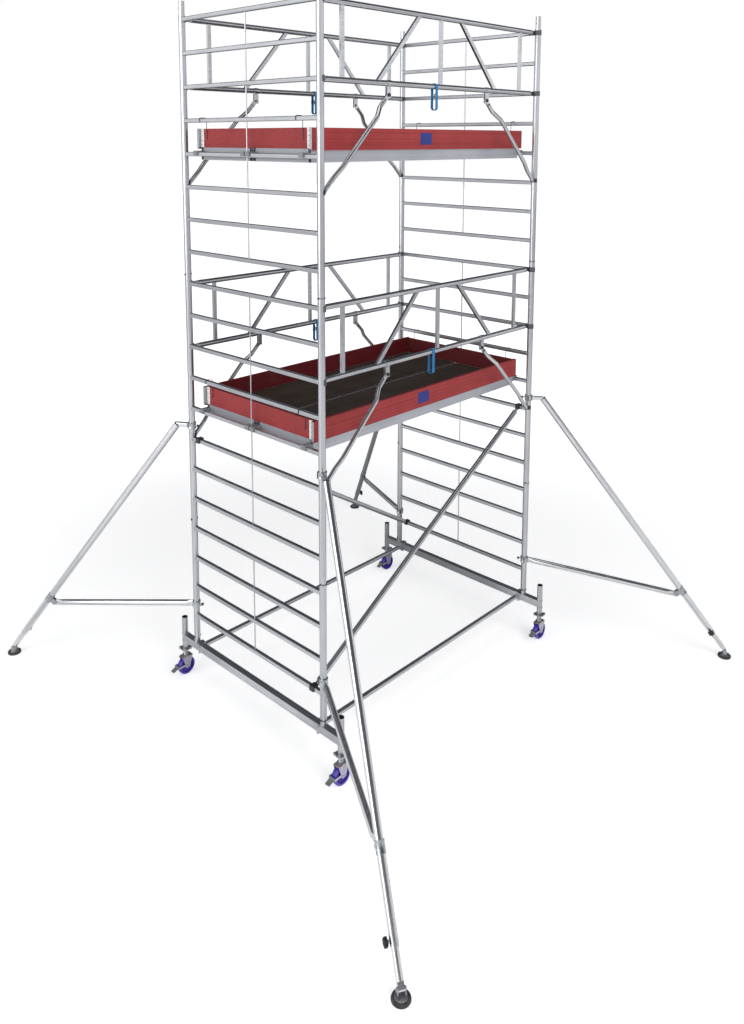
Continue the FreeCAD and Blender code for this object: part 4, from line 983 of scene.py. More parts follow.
@dataclass(frozen=True)
class WebbingFinish(Finish):
    """Woven webbing: ribs across and a twill along."""

    light: tuple = paint(52, 140, 196)
    dark: tuple = paint(22, 88, 140)

    def material(self, effects: Effects) -> Material:
        """The finish as a material.

        Args:
            effects: the shared shader groups.

        Returns:
            The new material.
        """
        material, wiring, shader, place = self.start()
        map_place = wiring.split(wiring.add("ShaderNodeUVMap", uv_map="UVMap").outputs[0])
        ribs = wiring.group(effects.grooves, Position=map_place.outputs["Y"], Pitch=0.0022,
                            Share=0.4).outputs[0]
        twill = wiring.maths("ADD", map_place.outputs["X"], map_place.outputs["Y"])
        cross = wiring.group(effects.grooves, Position=twill, Pitch=0.0034, Share=0.45).outputs[0]
        weave = wiring.times(wiring.maths("ADD", ribs, cross), 0.5)
        fuzz = wiring.noise(place, 600.0, 3.0)
        shade = wiring.maths("ADD", wiring.times(weave, 0.6), wiring.times(fuzz, 0.4), True)
        wiring.feed(shader.inputs["Base Color"], wiring.blend(shade, self.dark, self.light))
        wiring.feed(shader.inputs["Roughness"], wiring.span(fuzz, 0.2, 0.8, 0.7, 0.92))
        self.emboss(wiring, shader, weave, 0.7, 0.0006)
        return material


class Palette:
    """Every finish of the tower as a material, by plain name."""

    def __init__(self, effects: Effects) -> None:
        """Build each material once from the shared effects.

        Args:
            effects: the shared shader groups.
        """
        tube_light, tube_dark = paint(216, 218, 222), paint(158, 161, 167)
        finishes = [
            MetalFinish("end frame aluminium", tube_light, tube_dark, ACROSS, ladder=True),
            MetalFinish("tube aluminium", tube_light, tube_dark, ALONG),
            MetalFinish("leg aluminium", paint(236, 237, 239), paint(182, 185, 190), ACROSS, 0.22,
                        mapped=True),
            MetalFinish("foot tube aluminium", paint(236, 237, 239), paint(196, 199, 203), UP, 0.2,
                        fineness=12.0, dust=0.1),
            MetalFinish("beam aluminium", tube_light, paint(150, 153, 158), ACROSS, 0.34),
            MetalFinish("guard aluminium", tube_light, tube_dark, ALONG, claw_from=1.2115,
                        claw=paint(96, 99, 104)),
            MetalFinish("strut aluminium", paint(230, 231, 234), tube_dark, (0.6, 0.0, 0.7), 0.26,
                        claw_from=1.2175),
            MetalFinish("brace aluminium", tube_light, tube_dark, (0.86, 0.0, 0.51), claw_from=1.221),
            MetalFinish("platform aluminium", paint(205, 207, 214), paint(168, 171, 180), ALONG, 0.42,
                        0.85, claw_from=1.2, claw=paint(172, 175, 180), ribs=0.023),
            MetalFinish("zinc steel", paint(205, 208, 212), paint(132, 136, 142), UP, 0.33,
                        spangled=True),
            MetalFinish("weld bead", paint(214, 216, 218), paint(150, 152, 155), (0.3, 0.5, 0.8), 0.4,
                        fineness=900.0),
            MetalFinish("dark clamp", paint(96, 99, 104), paint(52, 54, 58), UP, 0.34, 0.8),
            MetalFinish("coupler aluminium", paint(206, 209, 213), paint(140, 144, 150), UP, 0.3),
            MetalFinish("passivated steel", paint(206, 190, 186), paint(150, 128, 122), (0.4, 0.3, 0.8),
                        0.34,
                        0.85, spangled=True),
            MetalFinish("fork steel", paint(206, 204, 220), paint(160, 158, 180), (0.3, 0.0, 0.9), 0.34,
                        0.8,
                        spangled=True),
            # The toe boards' faces that look in over the deck get painted shade.
            BoardFinish("toe board film with painted inner shade"),
            BoardFinish("deck film", paint(80, 70, 64), paint(80, 70, 64), paint(60, 52, 47),
                        paint(118, 100, 84),
                        False, 0.012, 0.62, 0.12),
            MouldedFinish("wheel blue", paint(62, 46, 176), paint(38, 26, 122), 0.36, 500.0, 0.0001, 0.2,
                          0.3),
            MouldedFinish("pedal grey", paint(128, 134, 131), paint(92, 98, 96), 0.5),
            MouldedFinish("black plastic", paint(38, 39, 42), paint(22, 23, 25), 0.45, dust=0.1),
            MouldedFinish("rubber", paint(52, 53, 57), paint(26, 27, 30), 0.7, 420.0, 0.0005, 0.45),
            MouldedFinish("white paint", paint(240, 240, 238), paint(212, 212, 208), 0.45, dust=0.0),
            MouldedFinish("blue enamel", paint(34, 50, 136), paint(24, 36, 104), 0.45, 300.0, 0.0001, 0.0),
            WebbingFinish("strap webbing"),
        ]
        self._made = {finish.name: finish.material(effects) for finish in finishes}
        log.info("mixed %d finishes", len(self._made))

    def __getitem__(self, name: str) -> Material:
        """One material by its finish's name."""
        return self._made[name]


# ---------------------------------------------------------------- the tower's grid

@dataclass(frozen=True)
class Corner:
    """One corner of the tower: its name and which way it lies along X and Y."""

    name: str
    end: int
    side: int


CORNERS = (Corner("near_left", -1, -1), Corner("far_left", -1, 1),
           Corner("near_right", 1, -1), Corner("far_right", 1, 1))


@dataclass(frozen=True)
class Grid:
    """Where the uprights and rungs stand, read from the CAD frame."""

    half_length: float
    half_width: float
    upright: float = 0.025
    first_rung: float = 0.595
    pitch: float = 0.25
    rung: float = 0.032
    rungs: int = 20
    decks: tuple = (("lower", 8), ("upper", 16))

    @classmethod
    def measured(cls) -> "Grid":
        """Read the uprights' places off the bottom end frame.

        Returns:
            The grid.
        """
        low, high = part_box("frame_bottom_right")
        thickness = (high.x - low.x) / 2
        return cls(half_length=(low.x + high.x) / 2, half_width=high.y - thickness)

    def rung_height(self, number: int) -> float:
        """Height of a rung's axis; rung 1 is the lowest."""
        return self.first_rung + (number - 1) * self.pitch

    def foot(self, corner: Corner) -> Vector:
        """The point on the ground under a corner's upright."""
        return Vector((corner.end * self.half_length, corner.side * self.half_width, 0.0))


@dataclass
class EndFrames:
    """The ladder frames' finish and weld beads."""

    grid: Grid
    palette: Palette
    bead: float = 0.0032
    rung_corner: float = 0.006

    def build(self) -> None:
        """Dress the CAD frames and add a weld bead round every rung end."""
        for level in ("bottom", "middle", "top"):
            for side in ("left", "right"):
                dress([f"frame_{level}_{side}"], self.palette["end frame aluminium"])
        for name, end in (("left", -1), ("right", 1)):
            self._beads(f"weld_beads_{name}", end)

    def _beads(self, name: str, end: int) -> None:
        """The beads of one end, each a closed ring laid in the angle of rung and upright.

        Args:
            name: the piece's name.
            end: -1 for the left end, 1 for the right.
        """
        piece = Workpiece(name)
        outline = soft_box(self.grid.rung, self.grid.rung, self.rung_corner, 3)
        for number in range(1, self.grid.rungs + 1):
            height = self.grid.rung_height(number)
            for side in SIDES:
                path = []
                for across, up in outline:
                    reach = math.sqrt(max(self.grid.upright ** 2 - across ** 2, 0.0))
                    path.append(Vector((end * self.grid.half_length + across,
                                        side * (self.grid.half_width - reach), height + up)))
                piece.sweep(path, ring(self.bead, BEAD_CORNERS), True, ACROSS)
        piece.hand_over(ROOT, [self.palette["weld bead"]], crease=ROUND_CREASE)


def dress(nodes: Iterable[str], material: Material) -> None:
    """Give CAD nodes a finish.

    Args:
        nodes: the nodes' names.
        material: their new material.
    """
    for name in nodes:
        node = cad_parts[name]
        if node.material_slots:
            for place in node.material_slots:
                place.material = material
        else:
            node.data.materials.append(material)
        log.info("dressed %s in %s", name, material.name)


@dataclass
class Base:
    """The base beams, rails, braces, clips and the castors' fixed nuts."""

    grid: Grid
    palette: Palette
    castor_line: float = 0.93
    tube: float = 0.024
    beam_top: float = 0.36
    beam_low: float = 0.30
    bead: float = 0.0032
    bead_gap: float = 0.0008
    # Sizes of the black sleeve that paints the shade in each castor tube's mouth.
    shade_liner_bore: float = 0.0185
    shade_liner_fit: float = 0.0199
    shade_liner_depth: float = 0.028
    low_clip: float = 0.042
    clip_lift: float = 0.072
    tab_out: float = 0.0305

    def build(self) -> None:
        """Dress the base and weld its castor tubes to the beams."""
        dress(["base_beam_left", "base_beam_right"], self.palette["beam aluminium"])
        dress(["base_rails"], self.palette["tube aluminium"])
        dress(["diagonal_braces"], self.palette["brace aluminium"])
        dress(["retaining_clips"], self.palette["dark clamp"])
        dress(["castor_nuts"], self.palette["zinc steel"])
        self._tube_welds()
        self._clip_wings()

    def _tube_welds(self) -> None:
        """A bead above and below each beam round its castor tube, and a dark liner in the tube's mouth that paints
        the shade of its open bore.
        """
        piece = Workpiece("castor_tube_welds")
        for corner in CORNERS:
            middle = Vector((corner.end * self.grid.half_length, corner.side * self.castor_line, 0.0))
            for height in (self.beam_top, self.beam_low):
                path = [middle + Vector((x, y, height)) for x, y in ring(self.tube + self.bead_gap, 28)]
                piece.sweep(path, ring(self.bead, BEAD_CORNERS), True)
        piece.hand_over(ROOT, [self.palette["weld bead"]], crease=ROUND_CREASE)
        # Painted shade: a black sleeve and rim darken the open mouth of each castor tube.
        shade_liner = Workpiece("castor_tube_shade_liners")
        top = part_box("base_beam_left")[1].z
        for corner in CORNERS:
            middle = Matrix.Translation((corner.end * self.grid.half_length, corner.side * self.castor_line,
                                         top))
            bore, fit, depth = self.shade_liner_bore, self.shade_liner_fit, self.shade_liner_depth
            shade_liner.lathe([(bore, -depth), (fit, -depth), (fit, 0.0), (0.0232, 0.0), (0.0236, -0.0004),
                         (0.0236, 0.0016), (0.0228, 0.0022), (0.0192, 0.0022), (bore, 0.0012)],
                        middle, 32, True)
        shade_liner.hand_over(ROOT, [self.palette["black plastic"]])

    def _clip_wings(self) -> None:
        """A pressed finger tab on each retaining clip."""
        piece = Workpiece("retaining_clip_tabs")
        heights = (self.beam_top + self.low_clip, self.grid.rung_height(4) + self.clip_lift,
                   self.grid.rung_height(12) + self.clip_lift)
        for corner in CORNERS:
            foot = self.grid.foot(corner)
            for height in heights:
                for turn in SIDES:
                    place = looking(foot + Vector((turn * self.tab_out, 0.0, height)), (turn, 0.0, 0.0))
                    piece.lathe([(0.0, -0.0005), (0.0062, -0.0005), (0.0068, 0.0002), (0.0066, 0.0016),
                                 (0.0, 0.0019)], place, 14)
        piece.hand_over(ROOT, [self.palette["dark clamp"]])


@dataclass
class Decks:
    """The platforms, their boards, toe boards and the toe boards' fittings."""

    grid: Grid
    palette: Palette
    board_face: float = 0.05
    toe_top: float = 0.19
    end_face: float = 1.2
    toe_end: float = 0.6135
    long_end: float = 1.217
    long_inner: float = 0.615
    long_outer: float = 0.637
    plate_width: float = 0.034
    wire: float = 0.0024
    screw_margin: float = 0.018
    screw_count: int = 12
    screw_head: float = 0.0055
    screw_rise: float = 0.0009
    board_gap: float = 0.012
    plate_thick: float = 0.0018
    plate_edge: float = 0.0004
    plate_corner: float = 0.003
    cap_corner: float = 0.002
    cap_width: float = 0.016
    rivet_places: tuple = (-0.36, -0.12, 0.12, 0.36)
    hook_place: float = 0.535
    hook_low: float = 0.11
    enamel: Pair = (0.13, 0.088)
    enamel_rim: Pair = (0.122, 0.08)
    enamel_thick: float = 0.0012

    def build(self) -> None:
        """Dress the CAD decks and add their fittings, level by level."""
        for level, rung in self.grid.decks:
            dress([f"platform_{level}_near", f"platform_{level}_far"], self.palette["platform aluminium"])
            dress([f"toe_boards_{level}"], self.palette["toe board film with painted inner shade"])
            height = self.grid.rung_height(rung)
            self._screws(level, height)
            self._end_plates(level, height)
            self._hooks(level, height)
            self._name_plate(level, height)
        dress(["deck_boards"], self.palette["deck film"])

    def _screws(self, level: str, height: float) -> None:
        """Rows of domed screws down both edges of each board.

        Args:
            level: which deck, lower or upper.
            height: the height of the deck's rung.
        """
        piece = Workpiece(f"deck_screws_{level}")
        low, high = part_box("deck_boards")
        margin = self.screw_margin
        rows = (-high.y + margin, -self.board_gap - margin, self.board_gap + margin, high.y - margin)
        count = self.screw_count
        for row in rows:
            for number in range(count):
                along = low.x + margin + (high.x - low.x - 2 * margin) * number / (count - 1)
                place = Matrix.Translation((along, row, height + self.board_face))
                piece.dome(self.screw_head, self.screw_rise, place, 12)
        piece.hand_over(ROOT, [self.palette["zinc steel"]])

    def _end_plates(self, level: str, height: float) -> None:
        """White end plates with rivets on the end boards, and grey caps on the long boards.

        Args:
            level: which deck, lower or upper.
            height: the height of the deck's rung.
        """
        plates = Workpiece(f"toe_board_plates_{level}")
        caps = Workpiece(f"toe_board_caps_{level}")
        low, high = self.board_face + 0.002, self.toe_top
        tall = high - low
        for end in SIDES:
            for side in SIDES:
                middle = side * (self.toe_end - 0.004 - self.plate_width / 2)
                spot = (end * self.end_face, middle, height + low + tall / 2)
                place = looking(spot, (end, 0.0, 0.0))
                plates.plate(soft_box(self.plate_width, tall, self.plate_corner, 3), self.plate_thick,
                             place,
                             self.plate_edge)
                for share in self.rivet_places:
                    rivet = looking((spot[0] + end * self.plate_thick, middle, spot[2] + share * tall),
                                    (end, 0.0, 0.0))
                    plates.dome(0.0038, 0.0012, rivet, 10, 1)
                cap = (end * self.long_end, side * (self.long_inner + self.long_outer) / 2,
                       height + low + tall / 2 - 0.004)
                cap_outline = soft_box(self.long_outer - self.long_inner + 0.002, tall + 0.004,
                                       self.cap_corner, 3)
                caps.plate(cap_outline, self.plate_thick, looking(cap, (end, 0.0, 0.0)), self.plate_edge)
                inner = (end * (self.end_face + 0.0085), side * (self.long_inner - 0.0012),
                         height + low + tall / 2)
                caps.plate(soft_box(self.cap_width, tall, self.cap_corner, 3), self.plate_thick,
                           looking(inner, (0.0, -side, 0.0)), self.plate_edge)
        plates.hand_over(ROOT, [self.palette["white paint"], self.palette["dark clamp"]])
        caps.hand_over(ROOT, [self.palette["zinc steel"]])

    def _hooks(self, level: str, height: float) -> None:
        """Wire hooks that hold the end boards to the rung above.

        Args:
            level: which deck, lower or upper.
            height: the height of the deck's rung.
        """
        piece = Workpiece(f"toe_board_hooks_{level}")
        rung_top = self.grid.pitch + self.grid.rung / 2 + self.wire + 0.0006
        top = height + rung_top
        far = self.grid.half_length + self.grid.rung / 2 + self.wire + 0.001
        near = self.end_face + self.wire + 0.002
        for end in SIDES:
            for side in SIDES:
                across = side * self.hook_place
                bends = ((near, height + self.hook_low), (near, height + 0.18), (near, top - 0.012),
                         (near + 0.004, top - 0.003), (near + 0.013, top), (far - 0.012, top),
                         (far - 0.003, top - 0.003), (far, top - 0.012), (far, top - 0.03))
                path = [Vector((end * out, across, up)) for out, up in bends]
                piece.sweep(path, ring(self.wire, 8), False, ACROSS)
        piece.hand_over(ROOT, [self.palette["dark clamp"]], crease=ROUND_CREASE)

    def _name_plate(self, level: str, height: float) -> None:
        """A plain enamel plate with a raised rim on the near long board.

        Args:
            level: which deck, lower or upper.
            height: the height of the deck's rung.
        """
        piece = Workpiece(f"enamel_plate_{level}")
        place = looking((-0.05, -self.long_outer, height + 0.118), (0.0, -1.0, 0.0))
        piece.plate(soft_box(*self.enamel, 0.006, 4), self.enamel_thick, place, self.plate_edge)
        path = [place @ Vector((x, y, self.enamel_thick)) for x, y in soft_box(*self.enamel_rim, 0.004, 4)]
        piece.sweep(path, ring(0.0011, BEAD_CORNERS), True, ACROSS)
        piece.hand_over(ROOT, [self.palette["blue enamel"]])


@dataclass
class Guards:
    """The guard frames, their struts, bolts and straps."""

    grid: Grid
    palette: Palette
    plane: float = 0.727
    rail: float = 0.02
    rail_end: float = 1.188
    height: float = 0.5
    bracket: float = 0.575
    bolt_drop: float = 0.08
    bolt_face: float = 0.01
    strap_place: float = 0.069
    strap_width: float = 0.028
    strap_drop: float = 0.15
    strap_lift: float = 0.0028
    strap_pinch: float = 0.06
    claw_pin: float = 1.214
    claw_face: float = 0.0045
    swage_steps: int = 6
    swage_length: float = 0.022

    def build(self) -> None:
        """Dress the CAD guards and add rail ends, bolt caps and straps."""
        for level, rung in self.grid.decks:
            low = self.grid.rung_height(rung + 2)
            ends = Workpiece(f"rail_ends_{level}")
            bolts = Workpiece(f"bracket_bolts_{level}")
            for name, side in (("near", -1), ("far", 1)):
                dress([f"guard_frame_{level}_{name}"], self.palette["guard aluminium"])
                for end in ("left", "right"):
                    dress([f"guard_strut_{level}_{name}_{end}"], self.palette["strut aluminium"])
                for end in SIDES:
                    for lift in (0.0, self.height):
                        self._rail_end(ends, Vector((end * self.rail_end, side * self.plane, low + lift)),
                                       end)
                        self._claw_pin(bolts, Vector((end * self.claw_pin, side * self.plane, low + lift)))
                    self._bolt(bolts, Vector((end * self.bracket, side * self.plane, low - self.bolt_drop)),
                               side)
            ends.hand_over(ROOT, [self.palette["tube aluminium"]], crease=50.0)
            bolts.hand_over(ROOT, [self.palette["black plastic"], self.palette["zinc steel"]])
        self._straps()

    def _rail_end(self, piece: Workpiece, start: Vector, end: int) -> None:
        """The swaged end of a rail: round at the rail, flat at the claw.

        Args:
            piece: the piece it is added to.
            start: where the rail ends.
            end: -1 at the left end, 1 at the right.
        """
        rings = []
        for step in range(self.swage_steps + 1):
            share = step / self.swage_steps
            eased = share * share * (3 - 2 * share)
            half_depth = self.rail + 0.0002 - (self.rail - 0.0052) * eased
            half_height = self.rail + 0.0002 - 0.0012 * eased
            along = start.x + end * (share * self.swage_length - 0.001)
            rings.append([Vector((along, start.y + x / self.rail * half_depth,
                                  start.z + z / self.rail * half_height))
                          for x, z in ring(self.rail, 24)])
        piece.skin(rings)

    def _claw_pin(self, piece: Workpiece, spot: Vector) -> None:
        """The rivet that holds a claw to its rail's flat end."""
        for face in SIDES:
            piece.dome(0.0055, 0.0025, looking(spot + Vector((0.0, face * self.claw_face, 0.0)),
                                               (0.0, face, 0.0)), 12, 1)

    def _bolt(self, piece: Workpiece, spot: Vector, side: int) -> None:
        """A domed black cap over a bracket's bolt head and a nut on its inner side.

        Args:
            piece: the piece it is added to.
            spot: its middle.
            side: -1 for the near side, 1 for the far side.
        """
        face = spot + Vector((0.0, side * self.bolt_face, 0.0))
        piece.lathe([(0.0, 0.0), (0.0122, 0.0), (0.0128, 0.0008), (0.0126, 0.006), (0.0112, 0.0082),
                     (0.0, 0.0092)],
                    looking(face, (0.0, side, 0.0)), 20)
        back = spot - Vector((0.0, side * self.bolt_face, 0.0))
        piece.nut(0.0195, 0.0084, looking(back, (0.0, -side, 0.0)), 1)

    def _straps(self) -> None:
        """Webbing loops with a buckle over each lower rail."""
        webbing = Workpiece("guard_strap_webbing")
        buckles = Workpiece("guard_strap_buckles")
        section = soft_box(0.0024, self.strap_width, 0.0011, 2)
        for _, rung in self.grid.decks:
            height = self.grid.rung_height(rung + 2)
            for side in SIDES:
                middle = Vector((side * self.strap_place, side * self.plane, height))
                radius = self.rail + self.strap_lift
                path = []
                for start, hang, way in ((0.0, 0.0, -1), (math.pi, self.strap_drop, 1)):
                    for k in range(13):
                        angle = start + math.pi * k / 12
                        path.append(middle + Vector((0.0, radius * math.cos(angle),
                                                     radius * math.sin(angle) - hang)))
                    for k in range(1, 10):
                        drop = self.strap_drop * k / 10 if way < 0 else self.strap_drop * (1 - k / 10)
                        pinch = 1.0 - self.strap_pinch * math.sin(math.pi * k / 10)
                        path.append(middle + Vector((0.0, way * radius * pinch, -drop)))
                webbing.sweep(path, section, True, ALONG)
                self._buckle(buckles, middle + Vector((0.0, side * 0.016, -0.07)), side)
        webbing.hand_over(ROOT, [self.palette["strap webbing"]], ["guard_straps"], 50.0)
        buckles.hand_over(ROOT, [self.palette["black plastic"]])

    def _buckle(self, piece: Workpiece, spot: Vector, side: int) -> None:
        """A ladder-lock buckle: two side bars, three cross bars and a thumb lip.

        Args:
            piece: the piece it is added to.
            spot: its middle.
            side: -1 for the near side, 1 for the far side.
        """
        half = self.strap_width / 2 + 0.003
        for across in SIDES:
            place = Matrix.Translation(spot + Vector((across * half, 0.0, -0.016)))
            piece.block((0.004, 0.007, 0.032), place, 0.0012)
        for lift in (-0.016, -0.002, 0.012):
            start = spot + Vector((-half, 0.0, lift + 0.002))
            piece.pipe(start, start + Vector((2 * half, 0.0, 0.0)), 0.0022, 0.0, 10)
        place = looking(spot + Vector((0.0, side * 0.002, 0.014)), (0.0, side, 0.3))
        piece.plate(soft_box(self.strap_width, 0.012, 0.003, 3), 0.0025, place, 0.0006)


@dataclass
class Castor:
    """One castor: spindle, fork, wheel and brake pedal, on its own bodies."""

    corner: Corner
    palette: Palette
    axle_height: float = 0.075
    wheel_radius: float = 0.075
    wheel_width: float = 0.046
    gap: float = 0.003
    cheek: float = 0.003
    plate_low: float = 0.156
    plate_high: float = 0.162
    thread_pitch: float = 0.006
    hub_half: float = 0.024
    wheel_ribs: int = 8
    pedal_barrel: float = 0.008
    pedal_lift: float = 8.0
    pedal_slope: float = 22.0
    pedal_ribs: int = 4
    rib_pitch: float = 0.0095
    spindle_length: float = 0.3
    washer: float = 0.03
    middle: Vector = field(init=False)

    def __post_init__(self) -> None:
        """Read the wheel's place off the CAD frame."""
        low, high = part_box(f"castor_wheel_{self.corner.name}")
        self.middle = Vector(((low.x + high.x) / 2, (low.y + high.y) / 2, 0.0))

    def build(self) -> None:
        """Make the four moving pieces."""
        self._wheel()
        self._fork()
        self._pedal()
        self._spindle()

    def _across(self, offset: float = 0.0, height: Optional[float] = None, along: float = 0.0) -> Matrix:
        """A place on the castor whose Z axis runs across the tower."""
        lift = self.axle_height if height is None else height
        return looking(self.middle + Vector((along, offset, lift)), ACROSS)

    def _wheel(self) -> None:
        """Tyre, ribbed centre, hub and bearing seals."""
        piece = Workpiece(f"castor_tyre_{self.corner.name}")
        half = self.wheel_width / 2
        tyre = [(0.0575, -half * 0.90), (0.0640, -half), (0.0700, -half * 0.97), (0.0738, -half * 0.80),
                (0.07495, -half * 0.5), (self.wheel_radius, 0.0), (0.07495, half * 0.5),
                (0.0738, half * 0.80),
                (0.0700, half * 0.97), (0.0640, half), (0.0575, half * 0.90), (0.0560, half * 0.55),
                (0.0545, 0.0095), (0.0545, -0.0095), (0.0560, -half * 0.55)]
        piece.lathe(tyre, self._across(), 56, True)
        web = [(0.0190, -0.0075), (0.0546, -0.0092), (0.0546, 0.0092), (0.0190, 0.0075)]
        piece.lathe(web, self._across(), 40, True)
        hub = [(0.0076, -0.0236), (0.0215, -0.0236), (0.0235, -0.0222), (0.0240, -0.0100),
               (0.0255, -0.0070),
               (0.0255, 0.0070), (0.0240, 0.0100), (0.0235, 0.0222), (0.0215, 0.0236), (0.0076, 0.0236)]
        piece.lathe(hub, self._across(), 32, True)
        for number in range(self.wheel_ribs):
            turn = self._across() @ Matrix.Rotation(2 * math.pi * number / self.wheel_ribs, 4, "Z")
            for face in SIDES:
                rib = turn @ Matrix.Translation((0.0395, 0.0, face * 0.0115 - 0.0045))
                piece.block((0.032, 0.005, 0.009), rib, 0.0015)
        for face in SIDES:
            seal = self._across() @ Matrix.Translation((0.0, 0.0, face * 0.0232))
            piece.lathe([(0.0080, -0.0008), (0.0168, -0.0008), (0.0172, 0.0), (0.0168, 0.0008),
                         (0.0080, 0.0008)],
                        seal, 28, True, 1)
        piece.hand_over(f"castor_wheel_{self.corner.name}",
                        [self.palette["wheel blue"], self.palette["zinc steel"]],
                        [f"castor_wheel_{self.corner.name}"], 40.0)

    def _fork(self) -> None:
        """Pressed cheeks with ears and domed rims, top plate, axle bolt and the pedal's pin."""
        piece = Workpiece(f"castor_yoke_{self.corner.name}")
        inner = self.hub_half + self.gap
        top = Matrix.Translation(self.middle + Vector((0.0, 0.0, self.plate_low)))
        piece.plate(soft_box(0.1, 2 * (inner + self.cheek), 0.010, 5),
                    self.plate_high - self.plate_low - 0.0002,
                    top, 0.0012, 1)
        outline = [(-0.049, 0.157), (-0.022, 0.078), (-0.021, 0.068), (-0.014, 0.0615), (0.0, 0.0605),
                   (0.014, 0.0615),
                   (0.021, 0.068), (0.022, 0.078), (0.049, 0.157), (0.030, 0.1575), (-0.030, 0.1575)]
        for side in SIDES:
            face = inner if side > 0 else -inner - self.cheek
            upright = Matrix.Translation(self.middle + Vector((0.0, face + self.cheek, 0.0))) @ \
                Matrix.Rotation(math.pi / 2, 4, "X")
            piece.plate(outline, self.cheek, upright, 0.0005)
            outer = side * (inner + self.cheek)
            cap = looking(self.middle + Vector((0.0, outer - side * 0.0002, self.axle_height)),
                          (0.0, side, 0.0))
            piece.nut(0.0185, 0.0029, cap, 2)
            ear = Matrix.Translation(self.middle + Vector((-0.0545, face + self.cheek / 2, 0.086)))
            piece.block((0.074, self.cheek, 0.0185), ear @ Matrix.Translation((0.0, 0.0, -0.0085)), 0.0012)
            rim = looking(self.middle + Vector((0.0, outer - side * 0.0002, 0.120)), (0.0, side, 0.0))
            piece.lathe([(0.0, 0.0), (0.0075, 0.0), (0.0072, 0.0012), (0.0045, 0.0016), (0.0, 0.0016)], rim,
                        16)
        piece.pipe(self.middle + Vector((0.0, -inner, self.axle_height)),
                   self.middle + Vector((0.0, inner, self.axle_height)), 0.007, 0.0, 20, 2)
        pin = self._pedal_pivot()
        piece.pipe(pin + Vector((0.0, -inner - 0.001, 0.0)), pin + Vector((0.0, inner + 0.001, 0.0)), 0.004,
                   0.0, 14, 2)
        piece.hand_over(f"castor_fork_{self.corner.name}",
                        [self.palette["fork steel"], self.palette["passivated steel"],
                         self.palette["zinc steel"]],
                        [f"castor_fork_{self.corner.name}"], 30.0)

    def _pedal_pivot(self) -> Vector:
        """The pedal pin's middle, just clear of the tyre.

        Returns:
            The pin's middle.
        """
        out = self.wheel_radius + self.gap + self.pedal_barrel
        angle = math.radians(self.pedal_lift)
        return self.middle + Vector((-out * math.cos(angle), 0.0, self.axle_height + out * math.sin(angle)))

    def _pedal(self) -> None:
        """A ribbed foot plate on a barrel."""
        piece = Workpiece(f"castor_brake_pedal_{self.corner.name}")
        pivot = self._pedal_pivot()
        slope = Matrix.Translation(pivot) @ Matrix.Rotation(math.radians(-self.pedal_slope), 4, "Y")
        barrel = looking(pivot + Vector((0.0, -0.022, 0.0)), ACROSS)
        piece.lathe([(0.00405, 0.0), (0.0076, 0.0), (self.pedal_barrel, 0.0005),
                     (self.pedal_barrel, 0.0435), (0.0076, 0.044),
                     (0.00405, 0.044)], barrel, 22, True)
        plate = slope @ Matrix.Translation((-0.0315, 0.0, -0.0036))
        piece.plate(soft_box(0.049, 0.0436, 0.008, 5), 0.0058, plate, 0.0012)
        for number in range(self.pedal_ribs):
            rib = slope @ Matrix.Translation((-0.019 - self.rib_pitch * number, 0.0, 0.0018))
            piece.block((0.0032, 0.036, 0.0020), rib, 0.0008)
        piece.hand_over(f"castor_pedal_{self.corner.name}", [self.palette["pedal grey"]],
                        [f"castor_pedal_{self.corner.name}"])

    def _spindle(self) -> None:
        """A threaded spindle on its thrust washer, with the king pin below."""
        piece = Workpiece(f"castor_screw_{self.corner.name}")
        foot = self.plate_high + 0.0005
        top = foot + self.spindle_length
        profile = [(0.0, foot - 0.0065), (0.0078, foot - 0.0065), (0.0078, foot), (0.0295, foot),
                   (self.washer, foot + 0.0006),
                   (self.washer, foot + 0.0054), (0.0294, foot + 0.006), (0.0196, foot + 0.006)]
        height = foot + 0.012
        while height < top - self.thread_pitch:
            profile += [(0.0182, height), (0.0197, height + self.thread_pitch * 0.35),
                        (0.0197, height + self.thread_pitch * 0.6)]
            height += self.thread_pitch
        profile += [(0.0188, top - 0.003), (0.0175, top), (0.0, top)]
        piece.lathe(profile, Matrix.Translation(self.middle), 30)
        piece.hand_over(f"castor_spindle_{self.corner.name}", [self.palette["zinc steel"]],
                        [f"castor_spindle_{self.corner.name}"], 25.0)


